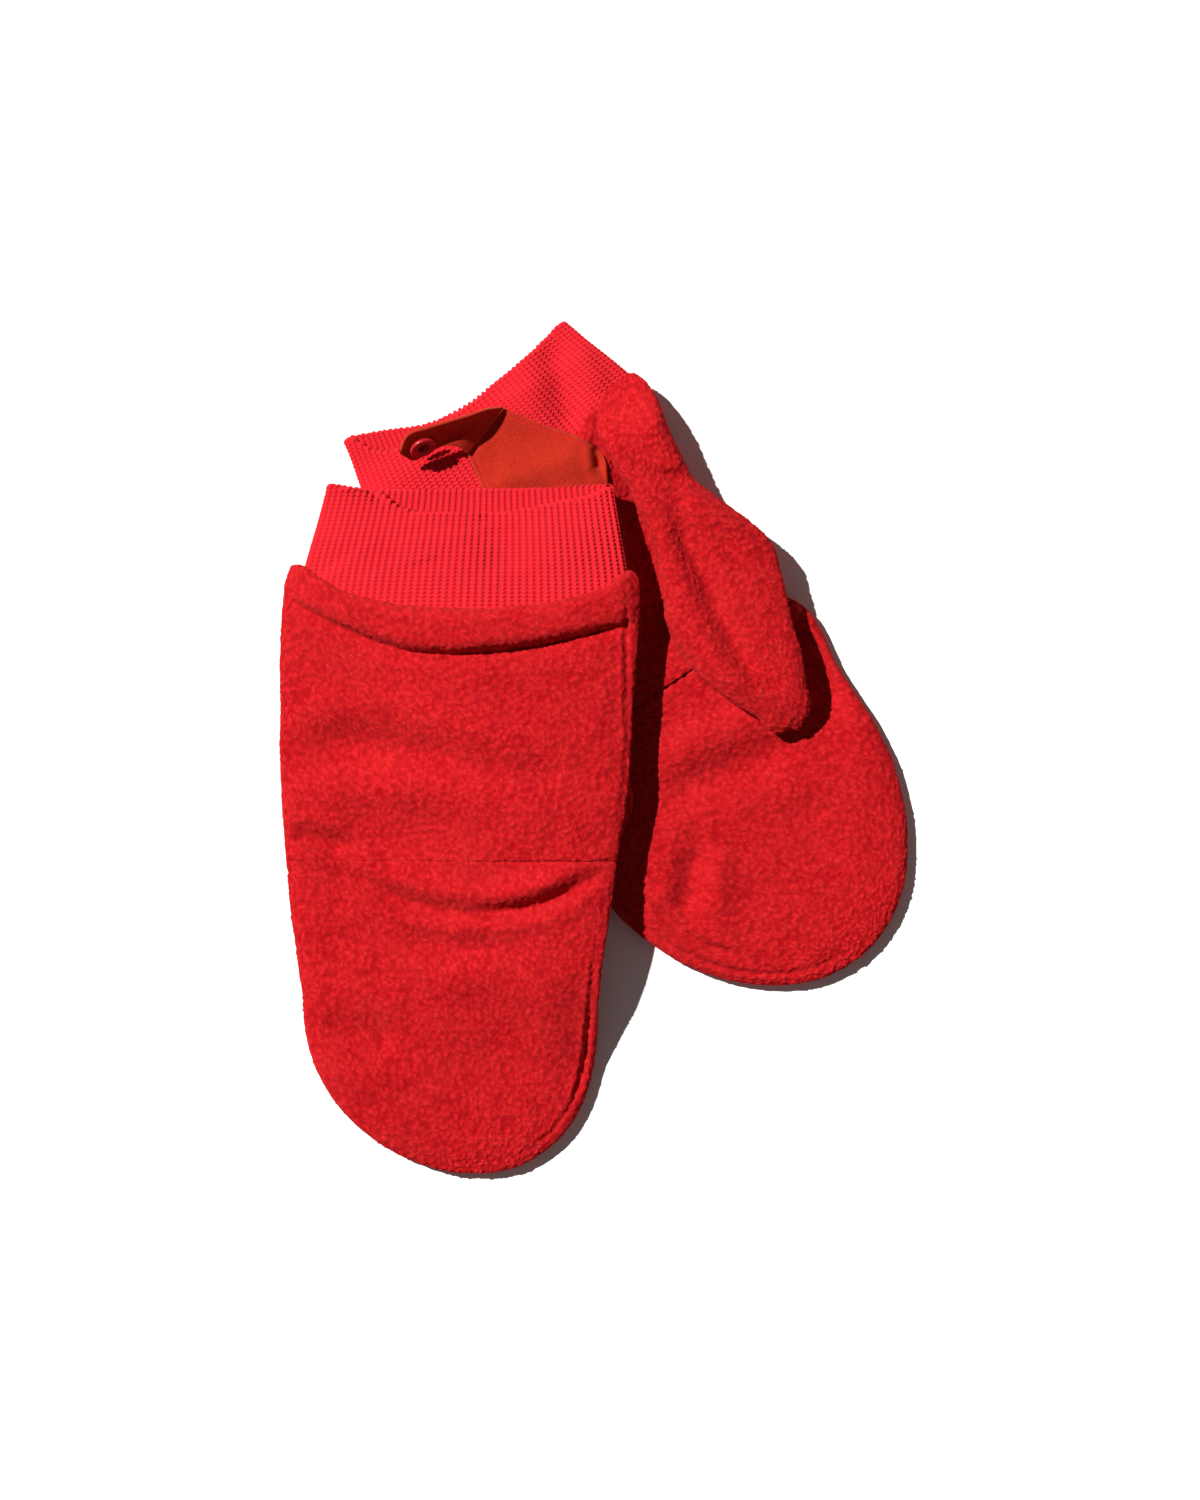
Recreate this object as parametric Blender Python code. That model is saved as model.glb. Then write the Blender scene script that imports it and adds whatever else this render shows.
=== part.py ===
"""Pair of convertible flip-top fleece mittens, lying one partly on the other.

The left mitten lies palm up with its fingers toward +X -Y. The right mitten lies
back up on top of the left one's near side, with its fingers toward -Y.
Each mitten is drawn in its own flat frame: u runs across it toward the thumb,
v runs from the cuff's mouth to the fingertips, z is up. All values are millimetres
until a mesh is made.
"""

import math

import bmesh
import bpy
from mathutils import Matrix, Vector

MM = 0.001

# Sizes shared by both mittens
THICKNESS = 9.2        # a mitten lying flat, both layers with the air between them
FLEECE_WALL = 1.8
RIB_WALL = 2.0
THUMB_WALL = 1.6
THUMB_TAPER_START = 0.75       # share of the thumb's length where its tip starts to thin
THUMB_HALF_WIDTH = 20.0        # its usual half width, against which the wall is taken
SEAM = 0.2             # half of the gap kept between two sewn edges
CUFF_LENGTH = 34.0
FINGER_HEM = (134.6, 137.6)    # band round the finger opening
HINGE_V = 138.0        # knuckle seam, where the hood turns
HOOD_START = 138.4
HOOD_HEM = (138.6, 143.2)      # band on the hood's free palm edge
FLAT_SHARE = 0.5       # share of a cross-section's width that is level
EDGE_POWER = 2.4       # superellipse power of its rounded edges
SIDES = 16             # facets across one panel
PATCH_THICKNESS = 1.0
TAB_THICKNESS = 1.2
SNAP_RADIUS = 5.0

# Left mitten: its flat thumb lies on the palm, which faces up
LEFT_ORIGIN = (-52.4, 134.9)
LEFT_TOWARD_DEG = -56.0
LEFT_THUMB_Z = (11.1, 24.6, 19.6)      # underside, top at the root, top at the tip

# Right mitten: it rests on the left one, and on its own thumb folded under the palm
RIGHT_ORIGIN = (-45.4, 96.4)
RIGHT_TOWARD_DEG = -90.0
RIGHT_REST = 12.8      # height of its underside above the left mitten
RIGHT_SLOPE = 60.0     # width of the stretch where it comes down to the floor
THUMB_LIFT = 6.6       # extra height over its own thumb
THUMB_LIFT_U = (-50.0, 9.0)    # where that lift rises, across the mitten
THUMB_LIFT_RISE_V = (2.0, 48.0)
THUMB_LIFT_FALL_V = (176.0, 220.0)
RIGHT_THUMB_Z = (11.1, 16.7, 16.5)
RIGHT_THUMB_SHIFT = -4.0
RIGHT_WRIST_DIP = 12.0         # how far the back's edge bows toward the fingers
BOW_REACH = 60.0       # length along v over which that bow dies out
RIGHT_HINGE_Z = 23.1   # height of the knuckle hinge line at u = 0
RIGHT_HINGE_RISE = 0.19        # its rise toward the thumb side, z per u
RIGHT_LIP_DIP = 8.0            # how far the mouth's upper lip sags open

# Outlines: (v, centre, half width), from the mouth to where the tip's curve starts
LEFT_CUFF = [(0, 0, 46), (12, 0, 49), (CUFF_LENGTH, 1, 54.5)]
LEFT_BODY = [(CUFF_LENGTH, 0, 58.6), (44, -1.5, 59), (58, -4, 57), (79, -4.5, 57),
             (104, -4.2, 57.3), (122, -3.5, 57.5), (132, -2, 58.5), (139, 0, 60.5),
             (167, -0.5, 59.8), (188, -0.5, 59.5)]
LEFT_MOUTH_TILT = 0.094        # the mouth is cut on a slant, v per u
LEFT_TIP = {"start": 188, "end": 260.3, "power": 1.8, "drift": 3.0}
RIGHT_CUFF = [(0, 0, 52), (12, -0.5, 54.5), (CUFF_LENGTH, -2, 59.5)]
RIGHT_BODY = [(CUFF_LENGTH, -3, 63.8), (40, -3.3, 65.5), (79, -5.2, 65.1), (116, -6.2, 63.7),
              (138, -7.2, 61), (153, -7.4, 59.6), (171, -7.6, 56.8), (190, -7.4, 54.4)]
RIGHT_MOUTH_TILT = 0.0
RIGHT_TIP = {"start": 190, "end": 253.4, "power": 2.3, "drift": 8.9}

# Thumb outline: (v, thumb's inner edge u, outer edge u)
THUMB = [(44, 36, 58.6), (58, 32.5, 56.2), (72, 31, 54.2), (86, 28.5, 54.6), (98, 25, 58.6),
         (108, 20.5, 62.6), (117, 16, 63.8), (127, 13.6, 60.4), (142, 14.8, 54.8),
         (155, 19, 50.2), (166, 24, 45), (173, 28.2, 39.6), (176.6, 33.8, 33.8)]

# Suede patch outline on the palm, (u, v): a neck on the cuff that widens over the palm
PATCH = [(9, 20.4), (18, 33), (26, 45), (32, 60), (33, 80), (31, 100), (22, 113), (5, 118),
         (-12, 115), (-23, 105), (-27, 90), (-26, 72), (-19, 54), (-13, 40), (-11, 25.6)]

# Left tab, standing on the patch's wrist edge: its two long edges from root to end, (u, v, z)
LEFT_TAB_UPPER = [(9, 20.4, 11.9), (1.1, 16.8, 18.2), (-8, 13.8, 24), (-17, 10.7, 26.6),
                  (-23.6, 8.9, 26.6), (-29.4, 10.4, 24)]
LEFT_TAB_LOWER = [(-11, 25.6, 11.9), (-14, 23.2, 11.2), (-17, 20.3, 10.8), (-21, 18, 10.8),
                  (-27, 16.9, 12.2), (-30.6, 14.6, 16.8)]
# Right tab, folded flat under its patch: (v, inner edge u, outer edge u, z)
RIGHT_TAB = [(23, -11, 9, 11.2), (31, -11, 9, 12.0), (42, -11, 9, 12.9), (52, -11, 9, 12.9),
             (57, -9.4, 7.4, 12.9), (60.5, -5, 3, 12.9)]
RIGHT_SNAP_V = 50.0
SNAP_CAP_THICKNESS = 1.0
SNAP_BODY_THICKNESS = 1.9
SNAP_GAP = 0.7

COLOURS = {
    "fleece_red": ((0.72, 0.016, 0.02, 1), 0.95),
    "rib_knit_red": ((0.82, 0.03, 0.045, 1), 0.85),
    "suede_rust": ((0.62, 0.055, 0.018, 1), 0.9),
    "snap_red": ((0.55, 0.012, 0.018, 1), 0.3),
}


def smooth(t):
    t = min(1.0, max(0.0, t))
    return t * t * (3 - 2 * t)


def step(span, x):
    """0 before the span, 1 after it, smooth between."""
    return smooth((x - span[0]) / (span[1] - span[0]))


def read_table(table, v, column):
    """Value at v of a smooth curve through the table's rows."""
    v = min(max(v, table[0][0]), table[-1][0])
    last = len(table) - 1
    i = max(k for k in range(last) if table[k][0] <= v)
    before, here, there, after = (table[k] for k in (max(i - 1, 0), i, i + 1, min(i + 2, last)))
    span = there[0] - here[0]
    t = (v - here[0]) / span
    slope_here = (there[column] - before[column]) / (there[0] - before[0]) * span
    slope_there = (after[column] - here[column]) / (after[0] - here[0]) * span
    return (here[column] * (1 + 2 * t) * (1 - t) ** 2 + there[column] * t * t * (3 - 2 * t)
            + slope_here * t * (1 - t) ** 2 - slope_there * t * t * (1 - t))


class Mitten:
    def __init__(self, side, origin, toward_deg, cuff, body, tip):
        self.side = side
        self.origin = Vector(origin)
        angle = math.radians(toward_deg)
        self.toward = Vector((math.cos(angle), math.sin(angle)))
        self.across = Vector((-self.toward.y, self.toward.x))
        self.cuff = cuff
        self.body = body
        self.tip = tip

    def plan(self, u, v):
        return self.origin + self.across * u + self.toward * v

    def local(self, x, y):
        away = Vector((x, y)) - self.origin
        return away.dot(self.across), away.dot(self.toward)

    def outline(self, v):
        """Centre and half width of the fleece at v."""
        start, end = self.tip["start"], self.tip["end"]
        if v <= start:
            return read_table(self.body, v, 1), read_table(self.body, v, 2)
        t = min(1.0, (v - start) / (end - start))
        centre = self.body[-1][1] + self.tip["drift"] * t * t
        return centre, self.body[-1][2] * math.sqrt(max(0.0, 1 - t ** self.tip["power"]))

    def point(self, u, v, z):
        place = self.plan(u, v)
        return Vector((place.x, place.y, z + self.rest(place.x, place.y)))


class LeftMitten(Mitten):
    def rest(self, x, y):
        return 0.0

    def over_under(self, x, y):
        return 1.0


class RightMitten(Mitten):
    under = None           # the mitten it lies on

    def over_under(self, x, y):
        """1 on top of the left mitten, falling to 0 on the floor beside it."""
        u, v = self.under.local(x, y)
        centre, half = self.under.outline(v)
        past_edge = centre - half - u
        past_tip = v - self.under.tip["end"]
        return 1 - smooth(max(past_edge, past_tip) / RIGHT_SLOPE)

    def rest(self, x, y):
        """Height of the underside above the floor, the left mitten and its own thumb."""
        u, v = self.local(x, y)
        over_thumb = (step(THUMB_LIFT_U, u) * step(THUMB_LIFT_RISE_V, v)
                      * (1 - step(THUMB_LIFT_FALL_V, v)))
        return RIGHT_REST * self.over_under(x, y) + THUMB_LIFT * over_thumb


LEFT = LeftMitten("left", LEFT_ORIGIN, LEFT_TOWARD_DEG, LEFT_CUFF, LEFT_BODY, LEFT_TIP)
RIGHT = RightMitten("right", RIGHT_ORIGIN, RIGHT_TOWARD_DEG, RIGHT_CUFF, RIGHT_BODY, RIGHT_TIP)
RIGHT.under = LEFT


def crown(x):
    """Height at x of a section of half width 1 and half depth 1: level, then rounded edges."""
    edge = max(0.0, abs(x) - FLAT_SHARE) / (1 - FLAT_SHARE)
    return max(0.0, 1 - edge ** EDGE_POWER) ** (1 / EDGE_POWER)


def cross_section(centre, half, depth, theta):
    """(u, height above the middle) at an angle round a section of half width and half depth."""
    x = math.cos(theta)
    return centre + half * x, math.copysign(depth * crown(x), math.sin(theta))


def material(name):
    found = bpy.data.materials.get(name)
    if found:
        return found
    colour, roughness = COLOURS[name]
    made = bpy.data.materials.new(name)
    made.use_nodes = True
    shader = made.node_tree.nodes["Principled BSDF"]
    shader.inputs["Base Color"].default_value = colour
    shader.inputs["Roughness"].default_value = roughness
    shader.inputs["Metallic"].default_value = 0.0
    return made


def add_object(name, bm, finish, pivot=None):
    bmesh.ops.remove_doubles(bm, verts=bm.verts, dist=0.02)
    bmesh.ops.dissolve_degenerate(bm, edges=bm.edges, dist=0.01)
    bmesh.ops.recalc_face_normals(bm, faces=bm.faces)
    home = pivot.matrix_world.inverted() if pivot else Matrix.Identity(4)
    bmesh.ops.transform(bm, matrix=home @ Matrix.Scale(MM, 4), verts=bm.verts)
    mesh = bpy.data.meshes.new(name)
    bm.to_mesh(mesh)
    bm.free()
    mesh.shade_smooth()
    mesh.materials.append(material(finish))
    made = bpy.data.objects.new(name, mesh)
    made.parent = pivot
    bpy.context.scene.collection.objects.link(made)
    return made


def add_pivot(name, point, rise=0.0):
    """An empty on a hinge line, its X axis rising toward +X."""
    pivot = bpy.data.objects.new(name, None)
    pivot.location = Vector(point) * MM
    pivot.rotation_euler = (0, -math.atan(rise), 0)
    pivot.empty_display_size = 0.02
    bpy.context.scene.collection.objects.link(pivot)
    bpy.context.view_layer.update()
    return pivot


def skin(name, outer, inner, finish, closed_ring, pivot=None):
    """A wall between two grids of points: rows run along v, columns go round."""
    bm = bmesh.new()
    grids = [[[bm.verts.new(p) for p in row] for row in grid] for grid in (outer, inner)]
    rows, columns = len(outer), len(outer[0])
    steps = columns if closed_ring else columns - 1
    for grid in grids:
        for r in range(rows - 1):
            for c in range(steps):
                d = (c + 1) % columns
                bm.faces.new((grid[r][c], grid[r][d], grid[r + 1][d], grid[r + 1][c]))
    for r in (0, rows - 1):
        for c in range(steps):
            d = (c + 1) % columns
            bm.faces.new((grids[0][r][c], grids[0][r][d], grids[1][r][d], grids[1][r][c]))
    if not closed_ring:
        for c in (0, columns - 1):
            for r in range(rows - 1):
                bm.faces.new((grids[0][r][c], grids[0][r + 1][c], grids[1][r + 1][c], grids[1][r][c]))
    return add_object(name, bm, finish, pivot)


def hand_stations(mitten, v_start, v_end, count):
    """(v, centre, half width, half depth) at even steps along the fleece."""
    stations = []
    for i in range(count):
        v = v_start + (v_end - v_start) * i / (count - 1)
        stations.append((v, *mitten.outline(v), THICKNESS / 2))
    return stations


def hood_stations(mitten, v_start, straight_count, tip_count):
    start, end = mitten.tip["start"], mitten.tip["end"]
    stations = hand_stations(mitten, v_start, start, straight_count)
    for i in range(1, tip_count + 1):
        t = math.sin(math.pi / 2 * i / tip_count)
        depth = SEAM + (THICKNESS / 2 - SEAM) * (1 - t ** 4) ** 0.5
        v = start + (end - start) * t
        stations.append((v, *mitten.outline(v), depth))
    return stations


def inset(stations, wall, closed_tip):
    """The same stations for the inside of a wall."""
    first, last = stations[0][0], stations[-1][0]
    widest = max(s[2] for s in stations)
    deepest = max(s[3] for s in stations)
    shrink_v = (last - first - wall) / (last - first) if closed_tip else 1.0
    shrink_u = (widest - wall) / widest
    shrink_z = (deepest - wall) / deepest
    return [(first + (v - first) * shrink_v, c, half * shrink_u, depth * shrink_z)
            for v, c, half, depth in stations]


def panel_rows(mitten, stations, upper, bow=0.0):
    """Points of an upper or lower panel. bow pushes the middle of the first rows along v."""
    rows = []
    for v, centre, half, depth in stations:
        row = []
        fade = 1 - smooth((v - CUFF_LENGTH) / BOW_REACH)
        for k in range(SIDES + 1):
            theta = math.pi * k / SIDES
            u, rise = cross_section(centre, half, max(depth - SEAM, 0), theta)
            rise += SEAM
            z = THICKNESS / 2 + (rise if upper else -rise)
            row.append(mitten.point(u, v + bow * fade * math.sin(theta) ** 2, z))
        rows.append(row)
    return rows


def add_panel(name, mitten, stations, upper, closed_tip=False, bow=0.0, pivot=None):
    inner = inset(stations, FLEECE_WALL, closed_tip)
    return skin(name, panel_rows(mitten, stations, upper, bow), panel_rows(mitten, inner, upper, bow),
                "fleece_red", False, pivot)


def tube_rows(mitten, stations, lip=0.0, bow=0.0, tilt=0.0):
    """Points all round a tube. lip and bow push the upper side's first and last rows along v."""
    rows = []
    for v, centre, half, depth in stations:
        row = []
        for k in range(2 * SIDES):
            theta = math.pi * k / SIDES
            u, rise = cross_section(centre, half, depth, theta)
            upper = max(0.0, math.sin(theta)) ** 2
            share = v / CUFF_LENGTH
            along = v + upper * (lip * (1 - share) + bow * share) + tilt * u * (1 - share)
            row.append(mitten.point(u, along, THICKNESS / 2 + rise))
        rows.append(row)
    return rows


def add_cuff(mitten, lip, bow, tilt):
    stations = []
    for v in (0, 8, 16, 25, CUFF_LENGTH - 2 * SEAM):
        stations.append((v, read_table(mitten.cuff, v, 1), read_table(mitten.cuff, v, 2), THICKNESS / 2))
    inner = inset(stations, RIB_WALL, False)
    return skin(mitten.side + "_rib_cuff", tube_rows(mitten, stations, lip, bow, tilt),
                tube_rows(mitten, inner, lip, bow, tilt), "rib_knit_red", True)


def add_finger_hem(mitten):
    stations = hand_stations(mitten, FINGER_HEM[0], FINGER_HEM[1], 2)
    return skin(mitten.side + "_finger_opening_hem", tube_rows(mitten, stations),
                tube_rows(mitten, inset(stations, FLEECE_WALL, False)), "fleece_red", True)


def thumb_rows(mitten, heights, shift, wall, upper):
    """Upper or lower grid of the thumb, drawn in by wall."""
    bottom, root_top, tip_top = heights
    first, last = THUMB[0][0], THUMB[-1][0]
    rows = []
    for v, inner_edge, outer_edge in THUMB:
        t = (v - first) / (last - first)
        centre = (inner_edge + outer_edge) / 2 + shift
        half = (outer_edge - inner_edge) / 2
        full = (root_top + (tip_top - root_top) * t - bottom) / 2
        past = max(0.0, t - THUMB_TAPER_START) / (1 - THUMB_TAPER_START)
        taper = math.sqrt(1 - past ** 2)
        depth = SEAM + (full - SEAM) * taper
        share = (full - wall) / full
        row = []
        for k in range(SIDES - 1):
            theta = math.pi * k / (SIDES - 2)
            drawn_in = half * (1 - wall / THUMB_HALF_WIDTH)
            u, rise = cross_section(centre, drawn_in, (depth - SEAM) * share, theta)
            place = mitten.plan(u, first + (v - first) * (1 - wall / (last - first)))
            middle = bottom * mitten.over_under(place.x, place.y) + full
            z = middle + (SEAM + rise if upper else -SEAM - rise)
            row.append(Vector((place.x, place.y, z)))
        rows.append(row)
    return rows


def add_thumb(mitten, heights, shift, pivot=None):
    for part, upper in (("upper", True), ("lower", False)):
        skin(mitten.side + "_thumb_" + part + "_panel", thumb_rows(mitten, heights, shift, 0, upper),
             thumb_rows(mitten, heights, shift, THUMB_WALL, upper), "fleece_red", False, pivot)


def palm_height(mitten, u, v, upper):
    """Height of the palm's outer face, with the mitten's own draping."""
    centre, half = mitten.outline(max(v, CUFF_LENGTH))
    rise = THICKNESS / 2 * crown((u - centre) / half)
    return THICKNESS / 2 + (rise if upper else -rise)


def add_patch(mitten, upper, gap):
    """A sheet on the palm, cut to the patch outline in rows across it."""
    away = 1 if upper else -1
    steps = 6
    half = len(PATCH) // 2
    right_edge = PATCH[:half + 1]
    left_edge = list(reversed(PATCH[half:]))
    rows = []
    for (ur, vr), (ul, vl) in zip(right_edge, left_edge):
        row = []
        for k in range(steps + 1):
            u = ul + (ur - ul) * k / steps
            v = vl + (vr - vl) * k / steps
            z = palm_height(mitten, u, v, upper) + away * gap
            row.append((u, v, z))
        rows.append(row)
    near = [[mitten.point(u, v, z) for u, v, z in row] for row in rows]
    far = [[mitten.point(u, v, z + away * PATCH_THICKNESS) for u, v, z in row] for row in rows]
    return skin(mitten.side + "_palm_patch", far, near, "suede_rust", False)


def strip(name, rows, finish, pivot=None):
    """A strip of tab leather through rows of points, its thickness split about them."""
    near, far = [], []
    for r, row in enumerate(rows):
        ahead, behind = rows[min(r + 1, len(rows) - 1)], rows[max(r - 1, 0)]
        normals = []
        for c in range(len(row)):
            across = row[min(c + 1, len(row) - 1)] - row[max(c - 1, 0)]
            normals.append((ahead[c] - behind[c]).cross(across).normalized())
        near.append([p - n * TAB_THICKNESS / 2 for p, n in zip(row, normals)])
        far.append([p + n * TAB_THICKNESS / 2 for p, n in zip(row, normals)])
    return skin(name, far, near, finish, False, pivot)


def disc(name, centre, axis, radius, hole, thickness, pivot=None):
    """A round snap part with rolled edges, turned about axis, with its base at centre."""
    roll = thickness * 0.3
    profile = [(hole, 0), (radius - roll, 0), (radius, roll), (radius, thickness - roll),
               (radius - roll, thickness), (hole, thickness)]
    steps = 20
    turn = axis.to_track_quat("Z", "Y")
    rows = []
    bm = bmesh.new()
    for r, z in profile:
        ring = []
        for k in range(steps if r > 0 else 1):
            angle = 2 * math.pi * k / steps
            ring.append(bm.verts.new(centre + turn @ Vector((r * math.cos(angle), r * math.sin(angle), z))))
        rows.append(ring)
    pairs = list(zip(rows, rows[1:])) + ([(rows[-1], rows[0])] if hole > 0 else [])
    for low, high in pairs:
        for k in range(steps):
            n = (k + 1) % steps
            corners = [low[k % len(low)], low[n % len(low)], high[n % len(high)], high[k % len(high)]]
            bm.faces.new(list(dict.fromkeys(corners)))
    return add_object(name, bm, "snap_red", pivot)


def add_snap(side, centre, out, half_names, pivot=None):
    """A cap on the tab's outer face and the snapping half on its inner face."""
    cap_name, body_name, hole = half_names
    stand_off = TAB_THICKNESS / 2 + SNAP_GAP
    disc(side + cap_name, centre + out * stand_off, out, SNAP_RADIUS - 0.4, 0.0, SNAP_CAP_THICKNESS, pivot)
    disc(side + body_name, centre - out * stand_off, -out, SNAP_RADIUS, hole, SNAP_BODY_THICKNESS, pivot)


def add_left_tab():
    upper = [LEFT.point(*p) for p in LEFT_TAB_UPPER]
    lower = [LEFT.point(*p) for p in LEFT_TAB_LOWER]
    rows = [[a.lerp(b, k / 4) for k in range(5)] for a, b in zip(upper, lower)]
    pivot = add_pivot("left_tab_pivot", (upper[0] + lower[0]) / 2)
    strip("left_tab", rows, "suede_rust", pivot)
    centre = (upper[3] + lower[3] + upper[4] + lower[4]) / 4
    out = (lower[4] - upper[3]).cross(lower[3] - upper[4]).normalized()
    if out.y < 0:
        out = -out
    add_snap("left", centre, out, ("_snap_cap", "_snap_socket", 2.2), pivot)


def add_right_tab():
    rows = []
    for v, inner_edge, outer_edge, z in RIGHT_TAB:
        places = [RIGHT.plan(inner_edge + (outer_edge - inner_edge) * k / 4, v) for k in range(5)]
        rows.append([Vector((place.x, place.y, z)) for place in places])
    strip("right_tab", rows, "suede_rust")
    place = RIGHT.plan((RIGHT_TAB[3][1] + RIGHT_TAB[3][2]) / 2, RIGHT_SNAP_V)
    middle = Vector((place.x, place.y, RIGHT_TAB[3][3]))
    add_snap("right", middle, Vector((0, 0, 1)), ("_snap_cap", "_snap_stud", 0.0))


def clear_scene():
    for thing in list(bpy.data.objects):
        bpy.data.objects.remove(thing, do_unlink=True)


def build_left():
    side = LEFT.side
    hand = hand_stations(LEFT, CUFF_LENGTH + SEAM, FINGER_HEM[0] - 2 * SEAM, 10)
    add_cuff(LEFT, 0.0, 0.0, LEFT_MOUTH_TILT)
    add_panel(side + "_palm_panel", LEFT, hand, True)
    add_panel(side + "_back_panel", LEFT, hand, False)
    add_finger_hem(LEFT)
    add_patch(LEFT, True, 0.4)
    hinge = LEFT.plan(0, HINGE_V)
    hood_pivot = add_pivot("left_hood_pivot", (hinge.x, hinge.y, 0))
    add_hood(LEFT, True, hood_pivot)
    root = LEFT.plan(47, THUMB[0][0])
    thumb_pivot = add_pivot("left_thumb_pivot", (root.x, root.y, LEFT_THUMB_Z[0]))
    add_thumb(LEFT, LEFT_THUMB_Z, 0.0, thumb_pivot)
    add_left_tab()


def add_hood(mitten, palm_up, pivot):
    side = mitten.side
    palm = hood_stations(mitten, HOOD_HEM[1] + 2 * SEAM, 6, 6)
    back = hand_stations(mitten, HOOD_START, HOOD_HEM[1], 2) + palm
    add_panel(side + "_hood_back_panel", mitten, back, not palm_up, True, pivot=pivot)
    add_panel(side + "_hood_palm_panel", mitten, palm, palm_up, True, pivot=pivot)
    band = hand_stations(mitten, HOOD_HEM[0], HOOD_HEM[1], 2)
    skin(side + "_hood_hem", panel_rows(mitten, band, palm_up),
         panel_rows(mitten, inset(band, FLEECE_WALL, False), palm_up), "fleece_red", False, pivot)


def build_right():
    side = RIGHT.side
    hand = hand_stations(RIGHT, CUFF_LENGTH + SEAM, FINGER_HEM[0] - 2 * SEAM, 10)
    add_cuff(RIGHT, RIGHT_LIP_DIP, RIGHT_WRIST_DIP, RIGHT_MOUTH_TILT)
    add_panel(side + "_back_panel", RIGHT, hand, True, bow=RIGHT_WRIST_DIP)
    add_panel(side + "_palm_panel", RIGHT, hand, False)
    add_finger_hem(RIGHT)
    add_patch(RIGHT, False, 1.3)
    hinge = RIGHT.plan(0, HINGE_V)
    add_hood(RIGHT, False, add_pivot("right_hood_pivot", (hinge.x, hinge.y, RIGHT_HINGE_Z), RIGHT_HINGE_RISE))
    add_thumb(RIGHT, RIGHT_THUMB_Z, RIGHT_THUMB_SHIFT)
    add_right_tab()


clear_scene()
build_left()
build_right()
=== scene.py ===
"""Looks of a pair of convertible flip-top fleece mittens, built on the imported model's frame.

The left mitten lies palm up with its fingers toward +X -Y. The right mitten lies back up on
the left one's near side, with its fingers toward -Y. Each is drawn in its own flat frame, in
millimetres: u runs across it toward the thumb, v from the cuff's mouth to the fingertips, z up.
"""

import bmesh
import bpy
import numpy as np
from bpy.props import FloatProperty, FloatVectorProperty, PointerProperty
from mathutils import Matrix, Vector, noise


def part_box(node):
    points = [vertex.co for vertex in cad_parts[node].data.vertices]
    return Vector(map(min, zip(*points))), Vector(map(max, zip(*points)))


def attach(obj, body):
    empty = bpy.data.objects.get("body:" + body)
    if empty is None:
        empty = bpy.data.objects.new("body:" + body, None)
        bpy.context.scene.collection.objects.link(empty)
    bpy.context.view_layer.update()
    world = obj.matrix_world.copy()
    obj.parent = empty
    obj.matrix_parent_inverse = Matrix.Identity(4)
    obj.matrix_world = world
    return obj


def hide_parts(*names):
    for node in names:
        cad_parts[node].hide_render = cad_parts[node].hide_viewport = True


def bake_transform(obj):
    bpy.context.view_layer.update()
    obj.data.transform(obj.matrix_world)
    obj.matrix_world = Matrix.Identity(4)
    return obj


bl_info = {
    "name": "Flip-top mittens",
    "version": (1, 0, 0),
    "blender": (4, 5, 0),
    "location": "View3D > Sidebar > Mittens",
    "description": "Builds a pair of convertible flip-top fleece mittens and their studio",
    "category": "Object",
}

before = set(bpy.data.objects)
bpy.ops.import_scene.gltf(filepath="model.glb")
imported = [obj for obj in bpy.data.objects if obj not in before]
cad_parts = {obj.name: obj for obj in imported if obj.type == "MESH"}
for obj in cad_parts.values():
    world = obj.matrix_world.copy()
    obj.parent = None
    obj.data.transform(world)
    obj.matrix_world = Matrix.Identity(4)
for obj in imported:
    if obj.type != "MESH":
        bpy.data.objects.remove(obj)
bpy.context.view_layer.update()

MM = 0.001

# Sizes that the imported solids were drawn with
THICKNESS = 9.2
SEAM_V = 138.0         # knuckle seam, where the hood turns
HOOD_HEM_END = 143.2
FLAT_SHARE = 0.5       # share of a section's width that is level
EDGE_POWER = 2.4       # superellipse power of its rounded edges
TAB_THICKNESS = 1.2
RIM_LAP = 0.45         # how far two sewn edges reach past each other
RIGHT_REST = 12.8      # height of the right mitten above the left one
RIGHT_SLOPE = 60.0
THUMB_LIFT = 6.6       # and where it lies on its own thumb, between these u and v
THUMB_LIFT_U = (-50, 9)
THUMB_LIFT_RISE_V = (2, 48)
THUMB_LIFT_FALL_V = (176, 220)
CUFF_LENGTH = 34.0

# Spans that the grids are laid over: along a piece, then across it
HAND_SPAN = (104, 132)
HOOD_SPAN = (128, 126)
THUMB_SPAN = (150, 62)
PATCH_SPAN = (105, 56)
CUFF_SPAN = 62
CUFF_GIRTH = 226

# Sewing
FINGER_HEM = (136.1, 3.6, 0.9)   # middle v, width and bulge of a hem
HOOD_HEM = (140.8, 6.0, 0.8)
PALM_END = 137.6       # where the left palm ends, over the finger hem
UNDER_END = 136.0      # where the right palm ends
HEM_TUCK = 1.3         # how deep the hood starts under the hand
RIM_STITCH = 3.6       # distances of stitched lines from a rim
PATCH_STITCH = 2.2
TAB_STITCH = 2.0
TAB_ROUND = 0.88       # share of the tab's length before its rounded end
TIP_STRETCH = 1.25     # length of a tip's curved rows against its straight length
TIP_SWEEP = 0.97       # the rows stop this near to the tip's pole
PATCH_LIFT = 0.9
PATCH_WALL = 0.9
MERGE = 0.02 * MM
TUFT_SEED = 11

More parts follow.
